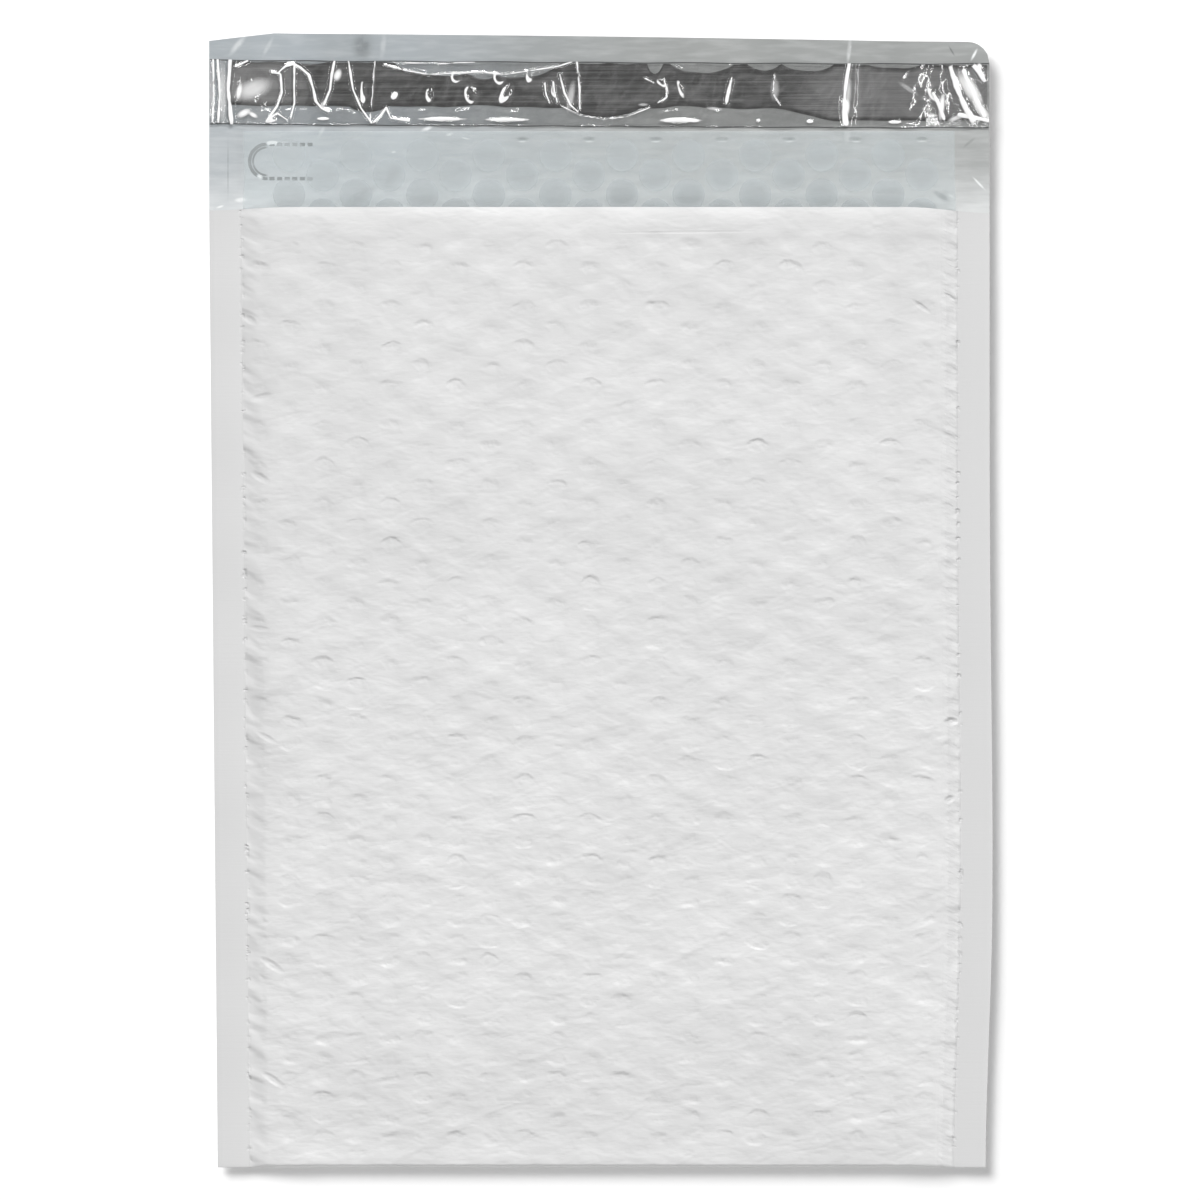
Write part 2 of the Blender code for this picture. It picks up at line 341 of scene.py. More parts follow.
def store(piece, name, values):
    layer = piece.data.attributes.new(name, "FLOAT", "POINT")
    layer.data.foreach_set("value", np.asarray(values, np.float32).ravel())


def new_sheet(name, x, y, z, material):
    """A piece from one grid of points; it faces up where its rows run towards +Y."""
    points = np.stack([x, y, z], -1).reshape(-1, 3)
    number = np.arange(x.size).reshape(x.shape)
    return new_piece(name, points, grid_faces(number).tolist(), [material])


def finish_piece(piece, node, sharp):
    """Smooths the piece but for edges sharper than this many degrees; it stands for the node."""
    bpy.ops.object.shade_smooth_by_angle(angle=math.radians(sharp))
    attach(piece, "root")
    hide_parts(node)


def linear(code):
    """An sRGB hex colour as linear red, green, blue and alpha."""
    parts = [int(code[k:k + 2], 16) / 255.0 for k in (1, 3, 5)]
    return [c / 12.92 if c <= 0.04045 else ((c + 0.055) / 1.055) ** 2.4 for c in parts] + [1.0]


def add(tree, kind, links=None, out=0, **settings):
    """Adds a shader node, sets it, fills or links its inputs and returns one output."""
    made = tree.nodes.new("ShaderNode" + kind)
    for key, value in settings.items():
        setattr(made, key, value)
    for key, value in (links or {}).items():
        if isinstance(value, bpy.types.NodeSocket):
            tree.links.new(value, made.inputs[key])
        else:
            made.inputs[key].default_value = value
    return made.outputs[out]


def new_material(name):
    """An empty material, its node tree and the place in the piece's own coordinates."""
    made = bpy.data.materials.new(name)
    made.use_nodes = True
    made.node_tree.nodes.clear()
    return made, made.node_tree, add(made.node_tree, "TexCoord", out="Object")


def close_material(tree, surface):
    end = tree.nodes.new("ShaderNodeOutputMaterial")
    tree.links.new(surface, end.inputs["Surface"])


# ---------------------------------------------------------------- materials

def drawn_out(tree, place, turn, long, wide, **look):
    """Noise drawn out along a direction: its turn in radians, feature length and width in mm."""
    turned = add(tree, "Mapping",
                 {"Vector": place, "Rotation": (0.0, 0.0, turn),
                  "Scale": (0.001 * long, 0.001 * wide, 1.0)}, vector_type="TEXTURE")
    settings = {"Vector": turned, "Scale": 1.0, "Detail": 2.0}
    settings.update(look)
    return add(tree, "TexNoise", settings)


def lattice(tree, place, phase, warp_size):
    """The nearest bubble: offset from its middle in mm, its cell number and the distance in mm."""
    warp = add(tree, "TexNoise", {"Vector": place, "Scale": 110.0, "Detail": 3.0}, "Color")
    warp = add(tree, "VectorMath", {0: warp, 1: (0.5, 0.5, 0.5)}, operation="SUBTRACT")
    warp = add(tree, "VectorMath", {0: warp, "Scale": warp_size}, operation="SCALE")
    moved = add(tree, "VectorMath", {0: place, 1: warp}, operation="ADD")
    moved = add(tree, "VectorMath", {0: moved, 1: (phase[0], phase[1], 0.0)},
                operation="SUBTRACT")
    cells = add(tree, "VectorMath", {0: moved, 1: (COLUMN_PITCH, ROW_PITCH, 1.0)},
                operation="DIVIDE")
    cells = add(tree, "VectorMath", {0: cells, 1: (1.0, 1.0, 0.0)}, operation="MULTIPLY")
    found = []
    for half in (0.0, 0.5):
        at = add(tree, "VectorMath", {0: cells, 1: (half + 0.5, half + 0.5, 0.0)},
                 operation="ADD")
        number = add(tree, "VectorMath", {0: at}, operation="FLOOR")
        inside = add(tree, "VectorMath", {0: at, 1: number}, operation="SUBTRACT")
        inside = add(tree, "VectorMath", {0: inside, 1: (0.5, 0.5, 0.0)}, operation="SUBTRACT")
        inside = add(tree, "VectorMath",
                     {0: inside, 1: (COLUMN_PITCH * 1000.0, ROW_PITCH * 1000.0, 0.0)},
                     operation="MULTIPLY")
        number = add(tree, "VectorMath", {0: number, 1: (half, half, 7.0 * half)},
                     operation="ADD")
        far = add(tree, "VectorMath", {0: inside}, "Value", operation="LENGTH")
        found.append((inside, number, far))
    first, second = found
    pick = add(tree, "Math", {0: first[2], 1: second[2]}, operation="GREATER_THAN")
    offset = add(tree, "Mix", {0: pick, 4: first[0], 5: second[0]}, 1, data_type="VECTOR")
    number = add(tree, "Mix", {0: pick, 4: first[1], 5: second[1]}, 1, data_type="VECTOR")
    far = add(tree, "Math", {0: first[2], 1: second[2]}, operation="MINIMUM")
    return offset, number, far


def bubble_print(tree, place, phase):
    """How much, from 0 to 1, each bubble marks the white film, most at its upper and lower rim."""
    offset, number, far = lattice(tree, place, phase, 0.0042)
    chance = add(tree, "TexWhiteNoise", {"Vector": number}, "Color")
    dice = add(tree, "SeparateColor", {"Color": chance}).node.outputs
    parts = add(tree, "SeparateXYZ", {"Vector": offset}).node.outputs
    rise = add(tree, "Math", {0: parts["Y"], 1: far}, operation="DIVIDE")
    # The film is drawn tight over a bubble's upper and lower rim, more so towards the foot.
    here = add(tree, "SeparateXYZ", {"Vector": place}).node.outputs["Y"]
    down = add(tree, "MapRange", {"Value": here, "From Min": 0.060, "From Max": -0.110,
                                            "To Min": 0.10, "To Max": 1.0})
    top = add(tree, "MapRange", {"Value": dice["Red"], "To Min": 0.45, "To Max": 1.10})
    low = add(tree, "MapRange", {"Value": dice["Green"], "To Min": 0.45, "To Max": 1.15})
    low = add(tree, "Math", {0: low, 1: down}, operation="MULTIPLY")
    half = add(tree, "MapRange", {"Value": rise, "From Min": -0.35, "From Max": 0.35}, **EASED)
    force = add(tree, "Mix", {0: half, 2: low, 3: top}, 0, data_type="FLOAT")
    steep = add(tree, "Math", {0: rise}, operation="ABSOLUTE")
    steep = add(tree, "MapRange", {"Value": steep, "From Min": 0.62, "From Max": 0.98,
                                             "To Min": 0.10}, **EASED)
    force = add(tree, "Math", {0: force, 1: steep}, operation="MULTIPLY")
    torn = add(tree, "TexNoise", {"Vector": place, "Scale": 210.0, "Detail": 2.0})
    torn = add(tree, "MapRange", {"Value": torn, "From Min": 0.38, "From Max": 0.60,
                                            "To Min": 0.50, "To Max": 1.05})
    force = add(tree, "Math", {0: force, 1: torn}, operation="MULTIPLY")
    edge = add(tree, "MapRange", {"Value": far, "From Min": 1.2, "From Max": 4.3}, **EASED)
    force = add(tree, "Mix", {0: edge, 2: 0.42, 3: force}, 0, data_type="FLOAT")
    reach = add(tree, "MapRange", {"Value": dice["Blue"], "To Min": 1.1, "To Max": 3.0})
    rim = add(tree, "Math", {0: 5.6, 1: far}, operation="SUBTRACT")
    rim = add(tree, "Math", {0: rim, 1: reach}, operation="DIVIDE")
    rim = add(tree, "MapRange", {"Value": rim}, **EASED)
    return add(tree, "Math", {0: force, 1: rim}, operation="MULTIPLY")


# Ripples of the slack film: turn in radians, length, width and height in mm.
RIPPLES = ((-0.16, 13.0, 6.2, 0.40), (0.26, 11.0, 5.6, 0.38), (0.02, 3.0, 0.8, 0.045))
# Single dents and folds of the front film: middle x and y, turn in degrees, half length, half
# width and height, in mm.  They sit along the two side seals and under the lip.
DENTS = (
    (-106.2, 85.1, -30.0, 2.6, 1.4, -0.26), (-102.6, 61.7, 12.0, 4.2, 1.4, -0.26),
    (-103.2, 37.4, -30.0, 3.8, 1.5, -0.30), (-103.4, -8.5, -6.0, 3.6, 1.1, -0.20),
    (-101.2, -41.6, -28.0, 4.0, 1.1, -0.20), (-99.6, -110.6, -33.0, 4.8, 1.5, -0.34),
    (-99.2, -145.4, -34.0, 5.0, 1.4, -0.34), (106.4, -36.7, 5.0, 2.6, 1.5, -0.56),
    (103.4, -42.6, 10.0, 3.4, 1.6, 0.22), (105.9, -60.3, 22.0, 2.2, 1.4, -0.42),
    (105.9, 92.2, -32.0, 2.6, 0.8, -0.30), (97.3, 89.2, -35.0, 4.2, 1.0, -0.22),
    (27.4, 108.2, -4.0, 4.4, 2.4, -0.24), (47.1, 107.8, 6.0, 4.2, 2.4, -0.18),
    (26.0, 111.7, 0.6, 27.0, 0.55, -0.07),
)


def white_film(colours):
    """Co-extruded LDPE film, blown, white side: satin, slightly uneven from the bubbles; painted shade
    to the mouth.
    """
    made, tree, place = new_material("co-extruded LDPE film, white side")
    seal = add(tree, "Attribute", out="Fac", attribute_name="seal_mm")
    panel = add(tree, "MapRange", {"Value": seal, "From Min": 1.0, "From Max": 6.0}, **EASED)
    strip = add(tree, "MapRange", {"Value": seal, "From Min": 0.2, "From Max": -0.4})
    lined = add(tree, "Attribute", out="Fac", attribute_name="lined")

    arcs = bubble_print(tree, place, FRONT_PHASE)
    arcs = add(tree, "Math", {0: arcs, 1: panel}, operation="MULTIPLY")
    arcs = add(tree, "Math", {0: arcs, 1: lined}, operation="MULTIPLY")
    total = add(tree, "Math", {0: arcs, 1: -0.32}, operation="MULTIPLY")

    # Slack of the film: soft ripples a few millimetres apart that cross each other at a slant.
    here = add(tree, "SeparateXYZ", {"Vector": place}).node.outputs
    slack = add(tree, "MapRange", {"Value": here["Y"], "From Min": 0.100,
                                             "From Max": -0.060, "To Min": 0.95, "To Max": 1.55})
    panel = add(tree, "Math", {0: slack, 1: panel}, operation="MULTIPLY")
    for turn, long, wide, high in RIPPLES:
        ripple = drawn_out(tree, place, turn, long, wide, Roughness=0.55, Distortion=0.3)
        ripple = add(tree, "Math", {0: ripple, 1: panel}, operation="MULTIPLY")
        total = add(tree, "Math", {0: ripple, 1: high, 2: total}, operation="MULTIPLY_ADD")

    # Gathers that run down and inwards from the seals, up to 9 mm long.
    near = add(tree, "MapRange", {"Value": seal, "From Min": 8.5, "From Max": 0.3}, **EASED)
    near = add(tree, "Math",
               {0: near, 1: add(tree, "Math", {0: seal, 1: 0.0},
                                operation="GREATER_THAN")}, operation="MULTIPLY")
    gather = drawn_out(tree, place, -0.40, 15.0, 6.4, Detail=1.5)
    gather = add(tree, "MapRange", {"Value": gather, "From Min": 0.36, "From Max": 0.66}, **EASED)
    gather = add(tree, "Math", {0: gather, 1: near}, operation="MULTIPLY")
    total = add(tree, "Math", {0: gather, 1: 0.55, 2: total}, operation="MULTIPLY_ADD")
    dents = streak_mask(tree, place, DENTS)
    total = add(tree, "Math", {0: dents, 1: total}, operation="ADD")

    # On the right the film was puckered as it was sealed: a band 5 mm wide of small wrinkles.
    band = add(tree, "MapRange", {"Value": seal, "From Min": 5.2, "From Max": 3.6})
    inner = add(tree, "MapRange", {"Value": seal, "From Min": -0.3, "From Max": 0.5})
    right = add(tree, "Math", {0: here["X"], 1: 0.0}, operation="GREATER_THAN")
    wrinkle = drawn_out(tree, place, -0.40, 5.4, 2.1)
    for part in (band, inner, right):
        wrinkle = add(tree, "Math", {0: wrinkle, 1: part}, operation="MULTIPLY")
    total = add(tree, "Math", {0: wrinkle, 1: 0.55, 2: total}, operation="MULTIPLY_ADD")

    # The seal jaw leaves fine level ribs on the strip and small pits along its inner line.
    ribs = drawn_out(tree, place, 0.0, 14.0, 0.67)
    ribs = add(tree, "Math", {0: ribs, 1: strip}, operation="MULTIPLY")
    total = add(tree, "Math", {0: ribs, 1: 0.030, 2: total}, operation="MULTIPLY_ADD")
    on_line = add(tree, "Math", {0: seal}, operation="ABSOLUTE")
    on_line = add(tree, "MapRange", {"Value": on_line, "From Min": 0.95, "From Max": 0.2})
    spots = drawn_out(tree, place, 0.0, 3.3, 2.2)
    spots = add(tree, "MapRange", {"Value": spots, "From Min": 0.54, "From Max": 0.68})
    group = drawn_out(tree, place, 0.0, 60.0, 9.0, Detail=1.0)
    group = add(tree, "MapRange", {"Value": group, "From Min": 0.40, "From Max": 0.56,
                                             "To Min": 0.30})
    spots = add(tree, "Math", {0: spots, 1: group}, operation="MULTIPLY")
    pits = add(tree, "Math", {0: spots, 1: on_line}, operation="MULTIPLY")
    total = add(tree, "Math", {0: pits, 1: -0.36, 2: total}, operation="MULTIPLY_ADD")

    grain = add(tree, "TexNoise", {"Vector": place, "Scale": 900.0, "Detail": 2.0})
    total = add(tree, "Math", {0: grain, 1: 0.006, 2: total}, operation="MULTIPLY_ADD")
    normal = add(tree, "Bump", {"Height": total, "Distance": 0.001, "Strength": 1.0})

    cloud = add(tree, "TexNoise", {"Vector": place, "Scale": 38.0, "Detail": 3.0})
    cloud = add(tree, "MapRange", {"Value": cloud, "From Min": 0.3, "From Max": 0.7,
                                             "To Max": 0.5})
    # Painted shade: the base colour darkens towards the mouth.
    drawn = add(tree, "MapRange", {"Value": here["Y"], "From Min": -0.100,
                                             "From Max": 0.100, "To Max": 0.5})
    cloud = add(tree, "Math", {0: cloud, 1: drawn}, operation="ADD")
    base = add(tree, "Mix", {0: cloud, 6: linear(colours.white_film),
                                       7: linear(colours.white_film_tone_and_shade)}, 2, data_type="RGBA")
    base = add(tree, "Mix", {0: strip, 6: base, 7: linear(colours.seal)}, 2, data_type="RGBA")
    gloss = add(tree, "MapRange", {"Value": cloud, "To Min": 0.42, "To Max": 0.52})
    surface = add(tree, "BsdfPrincipled",
                  {"Base Color": base, "Roughness": gloss, "Normal": normal, "IOR": LDPE_IOR})
    close_material(tree, surface)
    return made


# Soft streaks of painted highlight (+) and painted shade (-) where the grey film is creased, with the
# painted shadow under the liner's lower edge: middle x and y, turn in degrees, half length, half
# width, all in mm, and strength.
STREAKS = (
    (75.6, 167.4, 84.0, 5.2, 0.9, 0.55), (75.0, 142.0, 88.0, 4.6, 1.4, 0.35),
    (-72.2, 168.2, 86.0, 5.6, 4.2, -0.45), (-66.0, 168.6, 84.0, 5.6, 1.2, 0.22),
    (-110.0, 168.6, 50.0, 5.0, 1.3, 0.40), (-101.0, 168.0, 62.0, 4.4, 0.9, 0.22),
    (113.4, 165.6, 62.0, 2.6, 0.6, 1.00), (106.6, 166.8, -60.0, 2.4, 0.4, -0.60),
    (-109.0, 121.6, 4.0, 2.6, 1.0, 0.90), (-115.4, 119.5, 18.0, 1.6, 0.5, 0.90),
    (115.0, 126.4, -46.0, 3.6, 0.5, 1.00), (103.4, 122.8, -32.0, 3.8, 1.2, -0.60),
    (106.4, 122.8, -30.0, 1.3, 0.5, 0.90), (-73.0, 122.6, 32.0, 7.6, 2.6, -0.45),
    (-63.0, 129.4, 58.0, 6.0, 2.4, -0.30), (-52.6, 143.4, 24.0, 2.6, 0.9, 0.90),
    (-45.8, 141.6, 12.0, 1.5, 0.6, 0.90), (-62.8, 136.2, 0.0, 0.9, 0.4, 0.80),
    (-41.0, 140.4, -14.0, 1.8, 0.3, 0.80), (-113.0, 131.0, 90.0, 12.0, 0.3, -0.30),
    (-84.6, 142.6, 62.0, 3.2, 0.8, 0.30), (112.0, 139.0, 40.0, 3.0, 0.6, -0.35),
    (0.0, 144.0, 0.0, 90.0, 1.5, -0.22),
    (-99.8, 138.9, 4.0, 2.4, 0.8, 3.20), (-103.4, 128.6, -28.0, 1.8, 0.8, 3.20),
    (-96.0, 139.2, 0.0, 1.8, 0.4, 0.70), (-89.0, 138.2, 20.0, 1.4, 0.4, 0.80),
    (-97.0, 128.4, 0.0, 3.0, 0.3, 0.50), (-97.4, 133.6, 10.0, 1.0, 0.5, -0.35),
    (-87.8, 132.6, 80.0, 1.4, 0.3, -0.50), (-78.0, 133.0, 0.0, 2.4, 1.0, -0.35),
)
# The cut end crushes each second bubble, shown as a painted shade crescent with a painted highlight rim
# below it.
CRUSHED_SHADE_AND_HIGHLIGHT = tuple((x, y, 0.0, long, wide, force) for x in (16.8, 37.0, 57.3, 77.5, 97.7, -3.4, -23.6)
                for y, long, wide, force in ((140.3, 2.8, 0.8, -0.75), (139.4, 2.0, 0.35, 0.80)))
# The outline mark beyond the mouth: middle of its round end in metres, and radius in mm.
NOTCH_CENTRE, NOTCH_RADIUS = (-0.1012, 0.1333, 0.0), 5.2


def streak_mask(tree, place, streaks):
    """Sum of soft elongated spots, each from 0 at its rim to its strength in the middle."""
    total = 0.0
    for x, y, turn, long, wide, force in streaks:
        spot = add(tree, "Mapping", {"Vector": place, "Location": (0.001 * x, 0.001 * y, 0.0),
                                     "Rotation": (0.0, 0.0, math.radians(turn)),
                                     "Scale": (0.001 * long, 0.001 * wide, FLAT)},
                   vector_type="TEXTURE")
        far = add(tree, "VectorMath", {0: spot}, "Value", operation="LENGTH")
        mask = add(tree, "MapRange", {"Value": far, "From Min": 1.0, "From Max": 0.2,
                                                "To Max": force}, **EASED)
        total = add(tree, "Math", {0: mask, 1: total}, operation="ADD")
    return total


def notch_mark(tree, place):
    """A round-ended, part dashed outline in the film, left of the mouth: dark lines with a painted
    highlight between.
    """
    moved = add(tree, "VectorMath", {0: place, 1: NOTCH_CENTRE}, operation="SUBTRACT")
    moved = add(tree, "VectorMath", {0: moved, "Scale": 1000.0}, operation="SCALE")
    at = add(tree, "SeparateXYZ", {"Vector": moved}).node.outputs
    run = add(tree, "Math", {0: at["X"], 1: 0.0}, operation="MINIMUM")
    bent = add(tree, "CombineXYZ", {"X": run, "Y": at["Y"]})
    far = add(tree, "VectorMath", {0: bent}, "Value", operation="LENGTH")
    far = add(tree, "Math", {0: far, 1: NOTCH_RADIUS}, operation="SUBTRACT")
    dark = add(tree, "Math", {0: far}, operation="ABSOLUTE")
    dark = add(tree, "MapRange", {"Value": dark, "From Min": 0.62, "From Max": 0.36,
                                            "To Max": -2.20})
    inner = add(tree, "Math", {0: far, 1: 0.95}, operation="ADD")
    inner = add(tree, "Math", {0: inner}, operation="ABSOLUTE")
    second = add(tree, "MapRange", {"Value": inner, "From Min": 0.42, "From Max": 0.20,
                                              "To Max": -1.70})
    # A painted highlight line between the outline's two dark lines.
    light = add(tree, "Math", {0: far, 1: 0.50}, operation="ADD")
    light = add(tree, "Math", {0: light}, operation="ABSOLUTE")
    light = add(tree, "MapRange", {"Value": light, "From Min": 0.34, "From Max": 0.10,
                                             "To Max": 0.55})
    both = add(tree, "Math", {0: second, 1: light}, operation="ADD")
    bow = add(tree, "MapRange", {"Value": at["X"], "From Min": 0.5, "From Max": -0.6})
    both = add(tree, "Math", {0: both, 1: bow}, operation="MULTIPLY")
    beat = add(tree, "Math", {0: at["X"], 1: 2.3}, operation="MODULO")
    beat = add(tree, "MapRange", {"Value": beat, "From Min": 0.6, "From Max": 0.9})
    solid = add(tree, "Math", {0: beat, 1: bow}, operation="MAXIMUM")
    end = add(tree, "MapRange", {"Value": at["X"], "From Min": 14.0, "From Max": 13.6})
    dark = add(tree, "Math", {0: dark, 1: solid}, operation="MULTIPLY")
    dark = add(tree, "Math", {0: dark, 1: end}, operation="MULTIPLY")
    return add(tree, "Math", {0: dark, 1: both}, operation="ADD")


def grey_film(colours):
    """Co-extruded LDPE film, grey side: the carbon-filled inner layer, smooth and half glossy, with
    painted light and shade.
    """
    made, tree, place = new_material("co-extruded LDPE film, grey side")
    bands = add(tree, "Mapping", {"Vector": place, "Scale": (52.0, 9.0, 1.0)})
    bands = add(tree, "TexNoise", {"Vector": bands, "Scale": 1.0, "Detail": 2.0})
    bands = add(tree, "MapRange", {"Value": bands, "From Min": 0.3, "From Max": 0.7})
    across = add(tree, "SeparateXYZ", {"Vector": place}).node.outputs
    warmth = add(tree, "MapRange", {"Value": across["X"], "From Min": -0.09,
                                              "From Max": 0.03}, **EASED)
    base = add(tree, "Mix", {0: warmth, 6: linear(colours.grey_film_cool),
                                       7: linear(colours.grey_film)}, 2, data_type="RGBA")
    dark = add(tree, "Mix", {0: 0.35, 6: base, 7: linear(colours.grey_film_dark)}, 2,
               data_type="RGBA")
    base = add(tree, "Mix", {0: bands, 6: dark, 7: base}, 2, data_type="RGBA")
    pale = add(tree, "MapRange", {"Value": across["Y"], "From Min": 0.1450,
                                            "From Max": 0.1438, "To Max": 0.13})
    # Painted light: the film is made paler towards the mouth, where the lip shades it.
    mouth = add(tree, "MapRange", {"Value": across["Y"], "From Min": 0.1330,
                                             "From Max": 0.1175, "To Max": 0.46})
    pale = add(tree, "Math", {0: pale, 1: mouth}, operation="ADD")
    worn = drawn_out(tree, place, 0.0, 11.0, 1.9, Detail=3.0)
    worn = add(tree, "MapRange", {"Value": worn, "From Min": 0.34, "From Max": 0.68,
                                            "To Min": -0.05, "To Max": 0.12})
    pale = add(tree, "Math", {0: pale, 1: worn}, operation="ADD", use_clamp=True)
    base = add(tree, "Mix", {0: pale, 6: base, 7: linear(colours.pale_and_highlight)}, 2, data_type="RGBA")
    # The flat tops of the bubbles are welded to the film and darken it, most of all at the mouth.
    seal = add(tree, "Attribute", out="Fac", attribute_name="seal_mm")
    offset, number, _ = lattice(tree, place, BACK_PHASE, 0.0030)
    offset = add(tree, "VectorMath", {0: offset, 1: (1.0, 1.35, 1.0)}, operation="MULTIPLY")
    far = add(tree, "VectorMath", {0: offset}, "Value", operation="LENGTH")
    disc = add(tree, "MapRange", {"Value": far, "From Min": 4.8, "From Max": 2.6}, **EASED)
    chance = add(tree, "TexWhiteNoise", {"Vector": number}, "Value")
    chance = add(tree, "MapRange", {"Value": chance, "To Min": 0.45})
    toward = add(tree, "MapRange", {"Value": across["X"], "From Min": -0.070,
                                              "From Max": 0.010, "To Min": 0.15})
    for part in (chance, toward):
        disc = add(tree, "Math", {0: disc, 1: part}, operation="MULTIPLY")
    fade = add(tree, "MapRange", {"Value": across["Y"], "From Min": 0.143,
                                            "From Max": 0.121, "To Min": 0.04, "To Max": 0.85})
    under = add(tree, "MapRange", {"Value": across["Y"], "From Min": 0.143, "From Max": 0.1415})
    inside = add(tree, "MapRange", {"Value": seal, "From Min": 2.0, "From Max": 5.0})
    for part in (fade, under, inside):
        disc = add(tree, "Math", {0: disc, 1: part}, operation="MULTIPLY")
    base = add(tree, "Mix", {0: disc, 6: base, 7: linear(colours.grey_film_dark)}, 2,
               data_type="RGBA")
    marks = streak_mask(tree, place, STREAKS + CRUSHED_SHADE_AND_HIGHLIGHT)
    marks = add(tree, "Math", {0: notch_mark(tree, place), 1: marks}, operation="ADD")
    ragged = add(tree, "TexNoise", {"Vector": place, "Scale": 420.0, "Detail": 3.0})
    ragged = add(tree, "MapRange", {"Value": ragged, "From Min": 0.35, "From Max": 0.55,
                                              "To Min": 0.50})
    marks = add(tree, "Math", {0: marks, 1: ragged}, operation="MULTIPLY")
    # Positive marks are painted highlights, negative ones painted shade.
    light = add(tree, "Math", {0: marks, 1: 0.0}, operation="MAXIMUM", use_clamp=True)
    shade = add(tree, "Math", {0: marks, 1: -1.0}, operation="MULTIPLY", use_clamp=True)
    base = add(tree, "Mix", {0: light, 6: base, 7: linear(colours.pale_and_highlight)}, 2, data_type="RGBA")
    base = add(tree, "Mix", {0: shade, 6: base, 7: linear(colours.grey_film_shade)}, 2,
               data_type="RGBA")
    soft = add(tree, "TexNoise", {"Vector": place, "Scale": 160.0, "Detail": 3.0})
    normal = add(tree, "Bump", {"Height": soft, "Distance": 0.00012, "Strength": 1.0})
    surface = add(tree, "BsdfPrincipled",
                  {"Base Color": base, "Roughness": 0.34, "Normal": normal, "IOR": LDPE_IOR})
    close_material(tree, surface)
    return made


def see_through(tree, body, gloss_roughness, haze, normal, least, most, tint):
    """Thin clear film: light goes straight through, the rest is mirrored by angle or scattered."""
    angle = add(tree, "LayerWeight", {"Blend": 0.5, "Normal": normal}, "Facing")
    steep = add(tree, "Math", {0: angle, 1: 5.0}, operation="POWER")
    share = add(tree, "Math", {0: steep, 1: most - least, 2: least}, operation="MULTIPLY_ADD")
    clear = add(tree, "BsdfTransparent", {"Color": linear(tint)})
    milky = add(tree, "MixShader", {0: haze, 1: clear, 2: body})
    mirror = add(tree, "BsdfGlossy", {"Color": (1.0, 1.0, 1.0, 1.0),
                                                "Roughness": gloss_roughness, "Normal": normal})
    return add(tree, "MixShader", {0: share, 1: milky, 2: mirror})


def bubble_film(colours):
    """Blown LDPE bubble web, clear: faintly milky, glossy, with small flow marks."""
    made, tree, place = new_material("clear LDPE bubble film")
    flow = add(tree, "Mapping", {"Vector": place, "Scale": (40.0, 260.0, 60.0)})
    flow = add(tree, "TexNoise", {"Vector": flow, "Scale": 1.0, "Detail": 3.0})
    normal = add(tree, "Bump", {"Height": flow, "Distance": 0.00028, "Strength": 1.0})
    body = add(tree, "BsdfDiffuse", {"Color": linear(colours.lining_haze)})
    haze = add(tree, "MapRange", {"Value": flow, "From Min": 0.35, "From Max": 0.75,
                                            "To Min": 0.15, "To Max": 0.22})
    close_material(tree, see_through(tree, body, 0.34, haze, normal, 0.02, 0.30, "#FFFFFF"))
    return made


def hot_melt(colours):
    """Hot-melt pressure-sensitive adhesive: dark where it wets the liner, ribbed by the die."""
    made, tree, place = new_material("hot-melt adhesive")
    ribs = add(tree, "Mapping", {"Vector": place, "Scale": (14.0, 900.0, 1.0)})
    ribs = add(tree, "TexNoise", {"Vector": ribs, "Scale": 1.0, "Detail": 3.0, "Roughness": 0.65})
    ribs = add(tree, "MapRange", {"Value": ribs, "From Min": 0.41, "From Max": 0.62})
    patch = add(tree, "Mapping", {"Vector": place, "Scale": (75.0, 120.0, 1.0)})
    patch = add(tree, "TexNoise", {"Vector": patch, "Scale": 1.0, "Detail": 4.0,
                                             "Distortion": 0.8})
    patch = add(tree, "MapRange", {"Value": patch, "From Min": 0.44, "From Max": 0.60})
    mixed = add(tree, "Math", {0: ribs, 1: 0.42}, operation="MULTIPLY")
    mixed = add(tree, "Math", {0: patch, 1: 0.38, 2: mixed}, operation="MULTIPLY_ADD")
    across = add(tree, "SeparateXYZ", {"Vector": place}).node.outputs["X"]
    # Paler towards both ends: a painted sheen.
    for start, end, more in ((0.052, 0.074, 0.66), (-0.086, -0.102, 0.50)):
        paler = add(tree, "MapRange", {"Value": across, "From Min": start,
                                                 "From Max": end, "To Max": more},
                    **EASED)
        mixed = add(tree, "Math", {0: mixed, 1: paler}, operation="ADD")
    mixed = add(tree, "Math", {0: mixed, 1: 1.0}, operation="MINIMUM")
    rim = add(tree, "Attribute", out="Fac", attribute_name="rim_mm")
    rim = add(tree, "MapRange", {"Value": rim, "From Min": 0.45, "From Max": 1.7,
                                           "To Min": 0.0, "To Max": 1.0})
    mixed = add(tree, "Math", {0: mixed, 1: rim}, operation="MULTIPLY")
    base = add(tree, "Mix", {0: mixed, 6: linear(colours.adhesive_dark),
                                       7: linear(colours.adhesive)}, 2, data_type="RGBA")
    normal = add(tree, "Bump", {"Height": ribs, "Distance": 0.00006, "Strength": 1.0})
    surface = add(tree, "BsdfPrincipled",
                  {"Base Color": base, "Roughness": 0.38, "Normal": normal, "IOR": HOT_MELT_IOR})
    close_material(tree, surface)
    return made
